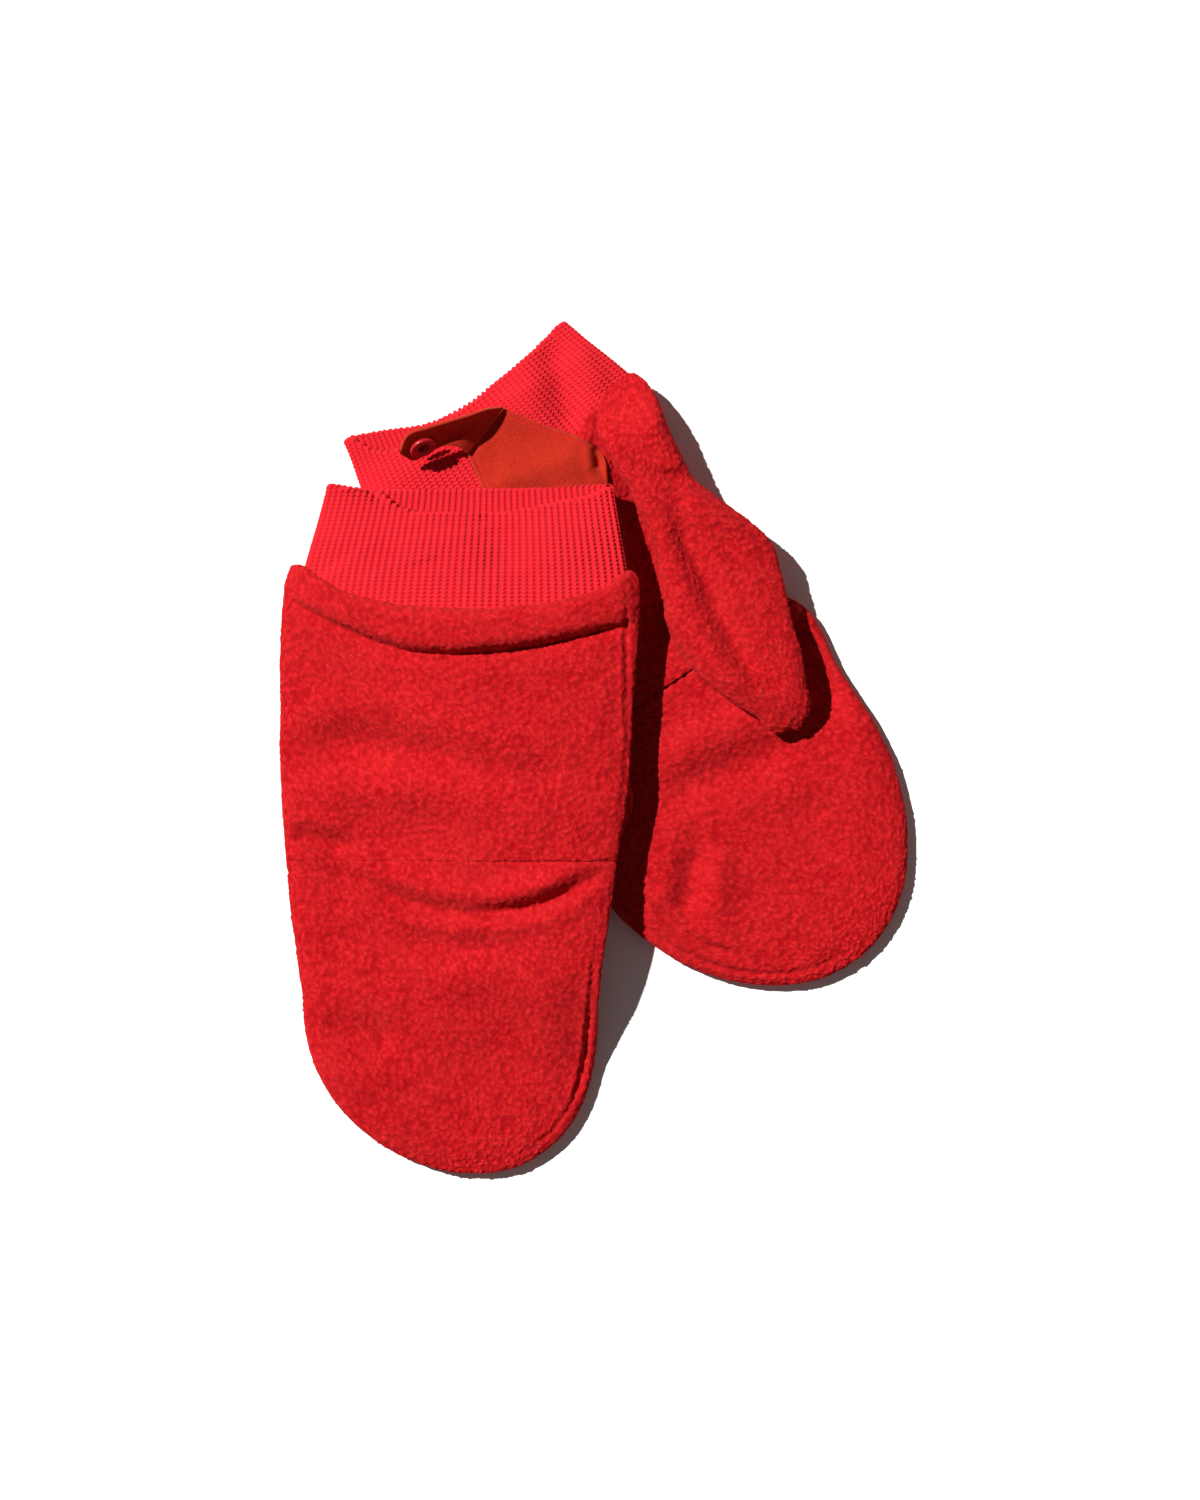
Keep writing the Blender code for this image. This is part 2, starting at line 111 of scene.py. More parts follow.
# Outlines: (v, centre, half width)
LEFT_CUFF = [(-6, 0, 45), (0, 0, 46), (12, 0, 49), (34, 1, 54.5), (50, 1, 57)]
LEFT_BODY = [(32, 0, 54.0), (35, 0, 57.6), (39, -0.4, 58.8), (44, -1.5, 59), (58, -4, 57),
             (79, -4.5, 57), (104, -4.2, 57.3), (122, -3.5, 57.5), (132, -2, 58.5), (139, 0, 60.5),
             (167, -0.5, 59.8), (188, -0.5, 59.5)]
LEFT_TIP = {"start": 188, "end": 260.3, "power": 1.8, "drift": 3.0}
RIGHT_CUFF = [(-6, 0, 51), (0, 0, 52), (12, -0.5, 54.5), (34, -2, 59.5), (50, -3, 62)]
RIGHT_BODY = [(26, -3, 57.5), (28, -3, 60.8), (31, -3, 63.4), (35, -3.1, 65.0), (42, -3.4, 65.6),
              (79, -5.2, 65.1),
              (116, -6.2, 63.7), (138, -7.2, 61), (153, -7.4, 59.6), (171, -7.6, 56.8),
              (190, -7.4, 54.4)]
RIGHT_TIP = {"start": 190, "end": 253.4, "power": 2.3, "drift": 8.9}

# Mouth edges and the lines where the fleece meets the cuff, (u, v)
LEFT_LIP = [(-46, -3.6), (-42, 2), (-38, 5.6), (-30, 9.2), (-16, 9.9), (1, 10.4), (15, 9),
            (30, 7.5), (46, 4.5)]
LEFT_MOUTH = [(-46, -4.3), (-33, 0.6), (-16, 7.5), (1, 9.6), (15, 8.6), (30, 7.2), (46, 4.5)]
LEFT_EDGE = [(-62, 35), (-12, 37), (10, 42), (21, 43.4), (28, 40.7), (36, 36.2), (43.2, 33),
             (51, 32.6), (58, 34)]
RIGHT_LIP = [(-53, 0), (-42, 2.2), (-35, 2.4), (-26, 7.9), (-8, 10.2), (18, 9.6), (33, 6.6),
             (48, 3.3), (53, 1)]
RIGHT_MOUTH = [(-53, 0), (-40, 1.4), (0, 1.6), (30, 1.0), (53, 0)]
RIGHT_EDGE = [(-69, 33), (-66.5, 30), (-63, 29.2), (-57, 32), (-46, 38), (-30, 42.5), (-8, 44.6),
              (14, 44.2), (34, 41.6), (49, 37), (56.5, 32.2), (60, 31.8), (63, 35)]
RIGHT_WELT = [(-68, 40), (-60, 45.5), (-46, 52.5), (-31, 58.6), (-11, 62), (7, 61.4),
              (28, 58.4), (47, 54), (57, 51.5), (63, 50)]
LOWER_EDGE = [(-70, 34), (70, 34)]

# Thumb outline, (v, inner edge u, outer edge u), with the shoulder that runs onto the cuff
THUMB = [(35, 44, 57.2), (39, 39, 58.8), (44, 35, 59.2), (58, 32, 56.4), (72, 31, 54.2),
         (80, 29.6, 53.4), (88, 28, 56), (98, 25, 59.6), (108, 20.5, 62.6), (117, 15.8, 63.8),
         (127, 13.6, 60.4), (142, 14.8, 54.8), (155, 19, 50.2), (166, 24, 45), (173, 28.2, 39.6),
         (176.6, 33.8, 33.8)]
THUMB_TAPER_V = 44.0   # the thumb's depth tapers from here
THUMB_BEND_V = 160.0   # and its rows crowd toward the tip from here
THUMB_ROUND_V = 166.0
LEFT_THUMB_Z = (11.1, 24.6, 19.6)     # bottom, top at the root, top at the tip
RIGHT_THUMB_Z = (11.1, 16.7, 16.5)
RIGHT_THUMB_SHIFT = -4.0
THUMB_CURL = 3.0       # how far the left thumb's tip curls up

# Suede patch: pairs of points on its two long edges, from the wrist to the round end, (u, v)
PATCH_RIGHT = [(10.2, 18.8), (19, 32), (28, 45), (31, 54), (26, 66), (24, 77), (17, 90), (12, 106),
               (5, 118)]
PATCH_LEFT = [(-10.2, 25.4), (-13, 40), (-19, 54), (-26, 72), (-27, 90), (-23, 105), (-12, 115),
              (5, 118)]
LEFT_TAB_UPPER = [(10.2, 18.8, 11.9), (4.5, 16.6, 18.2), (-2, 15.2, 22.4), (-9, 13.2, 25.2),
                  (-17, 10.8, 26.6), (-23.6, 8.9, 26.6), (-29.4, 10.4, 24)]
LEFT_TAB_LOWER = [(-10.2, 25.4, 11.9), (-11.6, 21.8, 15.2), (-15.6, 18.8, 16.2),
                  (-21.5, 17.6, 14.6), (-27, 16.9, 13.4), (-30.6, 14.6, 16.8)]
RIGHT_TAB_UPPER = [(9, 23, 11.2), (9, 31, 12.0), (9, 42, 12.9), (9, 52, 12.9), (7.4, 57, 12.9),
                   (3, 60.5, 12.9)]
RIGHT_TAB_LOWER = [(-11, 23, 11.2), (-11, 31, 12.0), (-11, 42, 12.9), (-11, 52, 12.9),
                   (-9.4, 57, 12.9), (-5, 60.5, 12.9)]

# Folds: (points (u, v), depth, width). A negative depth is a ridge.
FOLD_STEPS = 18
FOLD_END = 0.25        # share of its depth that a fold keeps at its ends
FOLD_FADE = 0.25       # share of its length over which it fades
SHOULDER = 0.35        # height of the rise beside a fold against its depth
SHOULDER_OUT = 2.1     # and its distance against the fold's width
RIGHT_FOLDS = [
    ([(-64, 97), (-41, 95), (-13, 99), (4, 101)], 3.4, 6.8),
    ([(-10, 103), (12, 105), (38, 108)], 1.7, 6.5),
    ([(-64, 113), (-38, 114), (-12, 111)], -2.2, 8.0),
    ([(-66, 127), (-57, 130.5), (-45, 134)], 3.4, 3.4),
    ([(-52, 138), (-36, 148), (-21, 154), (-8, 156.5), (7, 157), (21, 155), (32, 151),
      (42, 145), (53, 141)], 2.6, 3.2),
    ([(2, 157.3), (21, 155), (33, 150.5), (46, 143.5)], 1.6, 2.2),
    ([(6, 151), (22, 148), (36, 143)], -1.6, 4.6),
    ([(-34, 142), (-16, 147), (0, 149)], -0.9, 5.5),
    ([(-30, 165), (-8, 170), (14, 168)], 2.1, 5.5),
    ([(-56, 198), (-40, 202), (-25, 206)], 2.6, 7.0),
    ([(-54, 165), (-46, 169)], 1.1, 4.0),
    ([(57.2, 37), (57.6, 70), (58, 100), (54, 130)], 1.3, 1.0),
    ([(47.5, 168), (44.6, 193), (41.5, 216), (37, 232)], 1.6, 1.2),
    ([(30, 168), (27, 200), (20, 228)], -0.8, 9.0),
    ([(-40, 74), (-5, 80), (30, 74)], 0.7, 10.0),
]
LEFT_FOLDS = [
    ([(-24, 169), (4, 176), (22, 180), (34, 182)], 2.0, 6.5),
    ([(-14, 160), (10, 163), (28, 166)], -1.4, 7.5),
    ([(-22, 192), (-31, 204), (-38, 212)], 2.8, 4.8),
    ([(-14, 196), (-22, 210), (-26, 220)], -1.0, 6.0),
    ([(-48, 199), (-40, 222), (-29, 237)], 1.6, 1.5),
    ([(20, 200), (10, 225)], 0.7, 12.0),
    ([(38, 152), (52, 160), (56, 178)], 1.4, 6.0),
    ([(50, 140), (51, 155), (49, 170), (44, 184)], 5.6, 9.0),
    ([(61, 142), (62, 155), (60, 170)], -1.8, 3.5),
]
RIGHT_CUFF_FOLDS = [
    ([(11, 14), (13, 34)], 1.5, 8.0),
    ([(-19, 18), (-16, 30)], -0.9, 9.0),
    ([(-48, -3), (-40, 0), (-32, 5)], 2.2, 1.5),
    ([(36, 14), (40, 32)], -0.5, 9.0),
]
LEFT_CUFF_FOLDS = [
    ([(40, 6), (35, 17), (31, 29), (27, 42)], 3.0, 5.5),
    ([(50, 12), (46, 26), (44, 36)], -0.8, 5.0),
    ([(18, 14), (14, 28)], -0.8, 7.0),
]
THUMB_FOLDS = [
    ([(42, 70), (49, 77), (58, 91)], 2.2, 1.8),
    ([(44, 84), (53, 95), (60, 108)], -1.4, 4.5),
    ([(45, 80), (39, 94), (37, 109), (33, 130), (32, 144), (34, 158)], 3.0, 3.6),
    ([(22, 104), (21, 122), (23, 146), (29, 162)], -1.2, 4.5),
    ([(43, 46), (42, 60)], 1.0, 5.0),
    ([(48, 118), (46, 140)], -1.0, 5.0),
]
PATCH_FOLDS = [
    ([(-14, 40), (3, 45.5), (18, 49.6), (27, 52.5)], -1.7, 6.5),
    ([(31, 48.5), (28.8, 54), (26.5, 58.5)], 2.8, 1.7),
    ([(34, 60), (31, 78), (25, 96), (14, 120)], 6.4, 9.0),
    ([(-8, 47), (14, 54)], 1.0, 6.0),
]


def smooth(t):
    t = np.clip(t, 0.0, 1.0)
    return t * t * (3 - 2 * t)


def step(low, high, x):
    return smooth((x - low) / (high - low))


def read_table(table, v, column):
    """Values at v of a smooth curve through the table's rows."""
    table = np.array(table, float)
    knots, values = table[:, 0], table[:, column]
    slopes = np.gradient(values, knots)
    v = np.clip(v, knots[0], knots[-1])
    i = np.clip(np.searchsorted(knots, v, side="right") - 1, 0, len(knots) - 2)
    span = knots[i + 1] - knots[i]
    t = (v - knots[i]) / span
    return (values[i] * (1 + 2 * t) * (1 - t) ** 2 + values[i + 1] * t * t * (3 - 2 * t)
            + slopes[i] * span * t * (1 - t) ** 2 - slopes[i + 1] * span * t * t * (1 - t))


def curve_points(points, count):
    """Even steps along a smooth curve through the points, in two or three dimensions."""
    points = np.array(points, float)
    at = np.concatenate([[0], np.cumsum(np.linalg.norm(np.diff(points, axis=0), axis=1))])
    table = np.column_stack([at, points])
    steps = np.linspace(0, at[-1], count)
    return np.column_stack([read_table(table, steps, c) for c in range(1, table.shape[1])])


def crown(x):
    """Height of a section of half width 1 and half depth 1: level, then rounded edges."""
    edge = np.maximum(0.0, np.abs(x) - FLAT_SHARE) / (1 - FLAT_SHARE)
    return np.maximum(0.0, 1 - edge ** EDGE_POWER) ** (1 / EDGE_POWER)


def even_sections():
    """Places across a section at even steps round it, for a half width ten times its depth."""
    x = 1 - (1 - np.linspace(0, 1, 400)) ** 3
    run = np.concatenate([[0], np.cumsum(np.hypot(np.diff(x), np.diff(crown(x)) * 0.1))])
    return run / run[-1], x


SECTION_RUN, SECTION_X = even_sections()


def section_x(q):
    return np.sign(q) * np.interp(np.abs(q), SECTION_RUN, SECTION_X)


def fold_height(folds, u, v):
    """Sum of creases and ridges at points of a mitten's flat frame."""
    total = np.zeros_like(u)
    for points, depth, width in folds:
        line = curve_points(points, FOLD_STEPS)
        nearest = np.full(u.shape, 1e9)
        along = np.zeros_like(u)
        for k in range(len(line) - 1):
            start, run = line[k], line[k + 1] - line[k]
            t = np.clip(((u - start[0]) * run[0] + (v - start[1]) * run[1]) / (run @ run), 0, 1)
            away = np.hypot(u - start[0] - t * run[0], v - start[1] - t * run[1])
            closer = away < nearest
            nearest = np.where(closer, away, nearest)
            along = np.where(closer, (k + t) / (len(line) - 1), along)
        fade = step(0, FOLD_FADE, along) * step(0, FOLD_FADE, 1 - along)
        rise = SHOULDER * np.exp(-((nearest - SHOULDER_OUT * width) / width) ** 2)
        kept = FOLD_END + (1 - FOLD_END) * fade
        total += depth * kept * (rise - np.exp(-(nearest / width) ** 2))
    return total


class Mitten:
    """One mitten's place and outlines."""

    def __init__(self, side, origin, toward_deg, cuff, body, tip, folds, edge):
        self.side = side
        self.origin = np.array(origin)
        angle = np.radians(toward_deg)
        self.toward = np.array((np.cos(angle), np.sin(angle)))
        self.across = np.array((-self.toward[1], self.toward[0]))
        self.cuff = cuff
        self.body = body
        self.tip = tip
        self.folds = folds
        self.edge = edge
        self.under = None

    def section(self, v):
        """Centre and half width before the tip is rounded, and how far v is into the tip."""
        start, end = self.tip["start"], self.tip["end"]
        t = np.clip((v - start) / (end - start), 0, 1)
        centre = read_table(self.body, v, 1) + self.tip["drift"] * t * t
        return centre, read_table(self.body, v, 2), t

    def outline(self, v):
        centre, half, t = self.section(v)
        return centre, half * np.sqrt(1 - t ** self.tip["power"])

    def edge_distance(self, u, v):
        """Distance in from the outline."""
        centre, half, t = self.section(v)
        return half * (1 - np.sqrt(t ** self.tip["power"] + ((u - centre) / half) ** 2))

    def over_under(self, x, y):
        """1 on top of the other mitten, falling to 0 on the floor beside it."""
        if self.under is None:
            return np.ones_like(x)
        away = np.stack([x, y], -1) - self.under.origin
        u, v = away @ self.under.across, away @ self.under.toward
        centre, half = self.under.outline(v)
        past = np.maximum(centre - half - u, v - self.under.tip["end"])
        return 1 - smooth(past / RIGHT_SLOPE)

    def place(self, u, v):
        return (self.origin[0] + self.across[0] * u + self.toward[0] * v,
                self.origin[1] + self.across[1] * u + self.toward[1] * v)

    def points(self, u, v, z):
        """World points in metres, raised by what lies under the mitten."""
        x, y = self.place(u, v)
        if self.under is not None:
            over_thumb = step(*THUMB_LIFT_U, u) * step(*THUMB_LIFT_RISE_V, v)
            over_thumb = over_thumb * (1 - step(*THUMB_LIFT_FALL_V, v))
            z = z + RIGHT_REST * self.over_under(x, y) + THUMB_LIFT * over_thumb
        return np.stack([x, y, z], -1) * MM

    def point(self, u, v, z=0.0):
        return Vector(self.points(np.array(float(u)), np.array(float(v)), z))


LEFT = Mitten("left", (-52.4, 134.9), -56.0, LEFT_CUFF, LEFT_BODY, LEFT_TIP,
              LEFT_FOLDS + PATCH_FOLDS, LEFT_EDGE)
RIGHT = Mitten("right", (-45.4, 96.4), -90.0, RIGHT_CUFF, RIGHT_BODY, RIGHT_TIP, RIGHT_FOLDS,
               RIGHT_EDGE)
RIGHT.under = LEFT


# Mesh making


def mapped_grid(name, rows, columns, shape):
    """A grid of faces laid on shape(across, along), with both arguments from 0 to 1."""
    bm = bmesh.new()
    bmesh.ops.create_grid(bm, x_segments=columns, y_segments=rows, size=0.5)
    mesh = bpy.data.meshes.new(name)
    bm.to_mesh(mesh)
    bm.free()
    flat = np.empty(len(mesh.vertices) * 3)
    mesh.vertices.foreach_get("co", flat)
    flat = flat.reshape(-1, 3)
    points = shape(flat[:, 0] + 0.5, flat[:, 1] + 0.5)
    mesh.vertices.foreach_set("co", points.reshape(-1))
    mesh.update()
    made = bpy.data.objects.new(name, mesh)
    bpy.context.scene.collection.objects.link(made)
    return made


def face_along(piece, direction):
    """Turns the faces round if, together, they look away from direction."""
    total = sum((p.normal * p.area for p in piece.data.polygons), Vector())
    if total.dot(Vector(direction)) < 0:
        piece.data.flip_normals()


def merge_doubles(piece, closed):
    """Joins the points that meet. A closed piece's faces turn outwards; an open tip is cleaned."""
    bm = bmesh.new()
    bm.from_mesh(piece.data)
    bmesh.ops.remove_doubles(bm, verts=bm.verts, dist=MERGE)
    if closed:
        bmesh.ops.recalc_face_normals(bm, faces=bm.faces)
    else:
        bmesh.ops.dissolve_degenerate(bm, edges=bm.edges, dist=MERGE / 4)
    bm.to_mesh(piece.data)
    bm.free()


def apply_modifiers(piece):
    graph = bpy.context.evaluated_depsgraph_get()
    mesh = bpy.data.meshes.new_from_object(piece.evaluated_get(graph))
    piece.modifiers.clear()
    piece.data = mesh


def thicken(piece, thickness, offset=-1.0):
    solid = piece.modifiers.new("wall", "SOLIDIFY")
    solid.thickness = thickness * MM
    solid.offset = offset
    solid.use_even_offset = False
    apply_modifiers(piece)


def vertex_arrays(mesh):
    points = np.empty(len(mesh.vertices) * 3)
    normals = np.empty(len(mesh.vertices) * 3)
    mesh.vertices.foreach_get("co", points)
    mesh.vertices.foreach_get("normal", normals)
    return points.reshape(-1, 3), normals.reshape(-1, 3)


def store(mesh, name, values):
    layer = mesh.attributes.new(name, "FLOAT", "POINT")
    layer.data.foreach_set("value", np.asarray(values, np.float32))


def tufts(points, size):
    """Height of curled tufts, from 0 in a pit to 1 on top, at points in metres."""
    noise.seed_set(TUFT_SEED)      # without it noise_vector starts from the clock
    heights = np.empty(len(points))
    for k, p in enumerate(points / (size * MM)):
        q = Vector(p)
        q += 0.6 * noise.noise_vector(q * 0.7)
        nearest = noise.voronoi(q)[0][0]
        heights[k] = 1.0 - 1.25 * nearest + 0.35 * noise.noise(q * 2.1)
    return np.clip(heights, 0, 1)


def noise_at(points, scale):
    return np.array([noise.noise(Vector(p) * scale) for p in points])


def raise_nap(piece, size, height):
    """Pushes a surface out into tufts, and keeps their height for the material's painted pit shade
    and tuft highlight.
    """
    points, normals = vertex_arrays(piece.data)
    nap = tufts(points, size)
    drift = noise_at(points, 90)
    store(piece.data, "nap", nap)
    moved = points + normals * ((nap - 0.5) * height + drift * height * 0.6)[:, None] * MM
    piece.data.vertices.foreach_set("co", moved.reshape(-1))
    piece.data.update()


def finish_piece(piece, look, slot, body, *nodes):
    """Gives a piece its look and its body unless it is blended, and hides its CAD nodes. Its slot is
    not used.
    """
    if not piece.data.polygons:
        raise RuntimeError(piece.name + " has no faces")
    piece.data.shade_smooth()
    piece.data.materials.clear()
    piece.data.materials.append(look)
    if body:
        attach(piece, body)
    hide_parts(*nodes)
    return piece


# Materials


class Socket:
    """A shader output that sums and products can be written with."""

    def __init__(self, graph, link):
        self.graph = graph
        self.link = link

    def math(self, operation, *values):
        return self.graph.node("ShaderNodeMath", {"operation": operation}, dict(enumerate(values)))

    def __add__(self, other):
        return self.math("ADD", self, other)

    def __sub__(self, other):
        return self.math("SUBTRACT", self, other)

    def __rsub__(self, other):
        return self.math("SUBTRACT", other, self)

    def __mul__(self, other):
        return self.math("MULTIPLY", self, other)

    __radd__ = __add__
    __rmul__ = __mul__

    def clamped(self):
        return self.graph.node("ShaderNodeClamp", {}, {0: self})


class Finish:
    """A material being made, whose Principled shader starts with its constant values set."""

    def __init__(self, name, constants):
        self.material = bpy.data.materials.new(name)
        self.material.use_nodes = True
        self.tree = self.material.node_tree
        self.shader = self.tree.nodes["Principled BSDF"]
        for socket, value in constants.items():
            self.shader.inputs[socket].default_value = value
        self.place = self.node("ShaderNodeTexCoord", {}, {}, "Object")

    def node(self, kind, settings, inputs, output=0):
        made = self.tree.nodes.new(kind)
        for key, value in settings.items():
            setattr(made, key, value)
        for key, value in inputs.items():
            if isinstance(value, Socket):
                self.tree.links.new(value.link, made.inputs[key])
            else:
                made.inputs[key].default_value = value
        return Socket(self, made.outputs[output])

    def noise(self, size, detail=3.0, roughness=0.6):
        """Noise of a size in millimetres."""
        values = {"Vector": self.place, "Scale": 1 / (size * MM), "Detail": detail,
                  "Roughness": roughness}
        return self.node("ShaderNodeTexNoise", {}, values, "Fac")

    def attribute(self, name):
        return self.node("ShaderNodeAttribute", {"attribute_name": name}, {}, "Fac")

    def mixed(self, share, low, high):
        """A colour between two colours."""
        sockets = {0: share}
        for key, colour in ((6, low), (7, high)):
            sockets[key] = colour if isinstance(colour, Socket) else (*colour[:3], 1)
        return self.node("ShaderNodeMix", {"data_type": "RGBA"}, sockets, 2)

    def bump(self, height, distance, strength=1.0):
        values = {"Height": height, "Distance": distance * MM, "Strength": strength}
        return self.node("ShaderNodeBump", {}, values)

    def connect(self, socket, value):
        self.tree.links.new(value.link, self.shader.inputs[socket])


def shade(colour, factor, hue=(1.0, 1.0, 1.0)):
    return tuple(c * factor * h for c, h in zip(colour, hue))


def fleece_material(settings):
    finish = Finish("napped_fleece", {
        "Sheen Weight": settings.fleece_sheen, "Sheen Roughness": 0.5,
        "Sheen Tint": (1.0, 0.22, 0.2, 1), "Specular IOR Level": 0.0})
    colour = tuple(settings.fleece_colour)
    nap = finish.attribute("nap")
    curls = finish.noise(0.55, 3.0, 0.65)
    fibres = finish.noise(0.22, 2.0)
    blotches = finish.noise(14.0, 3.0)
    height = (nap * 0.6 + curls * 0.45 + fibres * 0.15).clamped()
    # Painted shade and painted highlight: the colour darkens in the nap's pits (deep) and turns
    # paler on the tufts' tops (lit), following the nap's height.
    pit_painted_shade = shade(colour, 0.62, (1, 0.5, 0.8))
    tuft_painted_highlight = shade(colour, 1.1, (1, 2.0, 1.8))
    deep = finish.mixed(((height - 0.28) * 2.2).clamped(), pit_painted_shade, colour)
    lit = finish.mixed(((height - 0.62) * 2.4).clamped(), deep, tuft_painted_highlight)
    finish.connect("Base Color", finish.mixed(((blotches - 0.35) * 0.7).clamped(), lit,
                                              shade(colour, 1.05, (1, 1.7, 1.5))))
    finish.connect("Roughness", (0.98 - height * 0.1).clamped())
    finish.connect("Normal", finish.bump(curls * 0.8 + fibres * 0.4, 0.6, 1.0))
    return finish.material


def rib_material(settings):
    finish = Finish("ribbed_knit", {
        "Sheen Weight": 0.12, "Sheen Roughness": 0.4,
        "Sheen Tint": (1.0, 0.35, 0.35, 1), "Specular IOR Level": 0.0})
    colour = tuple(settings.rib_colour)
    rib = finish.attribute("rib")
    stitch = finish.attribute("stitch")
    hairs = finish.noise(0.25, 3.0)
    body = (rib * 0.62 + stitch * 0.42).clamped()
    # Painted shade in the knit's grooves: the colour darkens between the ribs and between the
    # stitches, where the knit is low.
    base = finish.mixed((body * 1.15).clamped(), shade(colour, 0.66, (1, 0.35, 0.5)), colour)
    finish.connect("Base Color", finish.mixed((hairs * 0.5).clamped(), base,
                                              shade(colour, 1.03, (1, 1.7, 1.5))))
    finish.connect("Roughness", (0.92 - body * 0.12).clamped())
    finish.connect("Normal", finish.bump(hairs + stitch * 0.6, 0.22, 0.7))
    return finish.material


def suede_material(settings):
    finish = Finish("brushed_suede", {
        "Sheen Weight": 0.2, "Sheen Roughness": 0.55,
        "Sheen Tint": (1.0, 0.45, 0.25, 1), "Specular IOR Level": 0.0})
    colour = tuple(settings.suede_colour)
    grain = finish.noise(0.6, 4.0, 0.7)
    brushed = finish.noise(6.0, 3.0)
    specks = finish.noise(1.4, 2.0)
    thread = finish.attribute("thread")
    pale = shade(colour, 1.1, (1, 1.25, 1.1))
    mottled = finish.mixed(((grain - 0.34) * 3.2).clamped(), shade(colour, 0.7), shade(colour, 1.1))
    worn = finish.mixed(((brushed - 0.45) * 1.6).clamped(), mottled, pale)
    finish.connect("Base Color", finish.mixed(thread, worn, tuple(settings.fleece_colour)))
    finish.connect("Roughness", (0.86 + grain * 0.12).clamped())
    finish.connect("Normal", finish.bump(grain + specks * 0.5, 0.5, 1.0))
    return finish.material


def snap_material(settings):
    finish = Finish("snap_enamel", {"Coat Roughness": 0.25, "Specular IOR Level": 0.5})
    colour = tuple(settings.snap_colour)
    scuffs = finish.noise(1.1, 4.0)
    wear = finish.noise(3.5, 2.0)
    finish.connect("Base Color", finish.mixed(((wear - 0.4) * 1.5).clamped(), shade(colour, 0.85),
                                              shade(colour, 1.1)))
    finish.connect("Roughness", (0.26 + scuffs * 0.2).clamped())
    finish.connect("Coat Weight", (0.5 - wear * 0.4).clamped())
    finish.connect("Normal", finish.bump(scuffs, 0.02, 0.4))
    return finish.material


def floor_material(settings):
    finish = Finish("floor_paper", {"Specular IOR Level": 0.0, "Roughness": 1.0})
    colour = tuple(settings.floor_colour)
    finish.connect("Base Color", finish.mixed(finish.noise(60.0), shade(colour, 0.995), colour))
    return finish.material


LOOKS = {"napped_fleece": fleece_material, "ribbed_knit": rib_material,
         "brushed_suede": suede_material, "snap_enamel": snap_material,
         "floor_paper": floor_material}


def material(name, settings):
    return bpy.data.materials.get(name) or LOOKS[name](settings)


# Fleece


WELT_ROLL = 3.8        # height of the roll, and depth and reach of the crease under it
WELT_CREASE = 3.2
WELT_REACH = 3.6


def welt_height(u, v):
    """The fleece roll below the right cuff, and the crease that it hangs over."""
    top = read_table(RIGHT_EDGE, u, 1)
    crease = read_table(RIGHT_WELT, u, 1)
    share = np.clip((v - top) / (crease - top), 0, 1)
    strength = 0.45 + 0.55 * step(-62, -30, u) * step(-66, -34, -u)
    roll = WELT_ROLL * strength * np.minimum(1, share / 0.3) ** 0.6 * (1 - share ** 9) ** 0.6
    past = np.maximum(v - crease, 0)
    sunk = WELT_CREASE * strength * np.exp(-(past / WELT_REACH) ** 1.6) * (v > top)
    return roll - np.where(v < crease, sunk * share ** 14, sunk)


def panel_shape(mitten, first, last, upper, folds, tip=False):
    """Shape of a hand or hood panel. A hood's tip starts at a v, a hand panel at a line (u, v)."""

    def shape(across, along):
        x = section_x(2 * across - 1)
        start, end = mitten.tip["start"], mitten.tip["end"]
        if tip:
            straight = (start - first) / (start - first + TIP_STRETCH * (end - start))
            bend = np.clip((along - straight) / (1 - straight), 0, 1)
            v = np.where(along < straight, first + (start - first) * along / straight,
                         start + (end - start) * np.sin(np.pi / 2 * TIP_SWEEP * bend))
            centre, half = mitten.outline(v)
            u = centre + half * x
            depth = THICKNESS / 2 * np.sqrt(1 - mitten.section(v)[2] ** 4)
        else:
            v = CUFF_LENGTH + (last - CUFF_LENGTH) * along
            for _ in range(3):
                centre, half = mitten.outline(v)
                u = centre + half * x
                begin = read_table(first, u, 1)
                v = begin + (last - begin) * along
            depth = np.full_like(v, THICKNESS / 2)
        level = crown(x)
        tucked = HEM_TUCK * (1 - step(-1.0, -0.1, v - SEAM_V)) if tip and first < SEAM_V else 0.0
        lapped = RIM_LAP * (1 - level)
        if not upper:
            return mitten.points(u, v, THICKNESS / 2 - (depth - 0.5) * level + tucked + lapped)
        rise = depth * level - tucked * level - lapped
        inward = mitten.edge_distance(u, v)
        rise = rise + fold_height(folds, u, v) * step(0.0, 5.0, inward)
        shown = step(-5, 12, -u) if mitten is LEFT else step(16, 30, u)
        shown = (0.15 + 0.85 * shown) * step(160, 185, v)
        rise = rise - 0.8 * np.exp(-((inward - RIM_STITCH) / 0.8) ** 2) * shown
        rise = rise - seam_dip(mitten, u, v)
        if mitten is RIGHT and not tip:
            rise = rise + welt_height(u, v) * step(0.0, 6.0, inward)
        if not tip:
            rise = rise - 2.4 * (1 - step(0.0, 2.6, v - read_table(first, u, 1))) * level
        return mitten.points(u, v, THICKNESS / 2 + rise)

    return shape


def seam_dip(mitten, u, v):
    """Depth of the knuckle seam, which the nap hides away from the thumb side."""
    if mitten is LEFT:
        return 0.4 * np.exp(-((v - SEAM_V) / 1.1) ** 2)
    return 0.9 * step(6, 24, u) * np.exp(-((v - SEAM_V) / 0.6) ** 2)


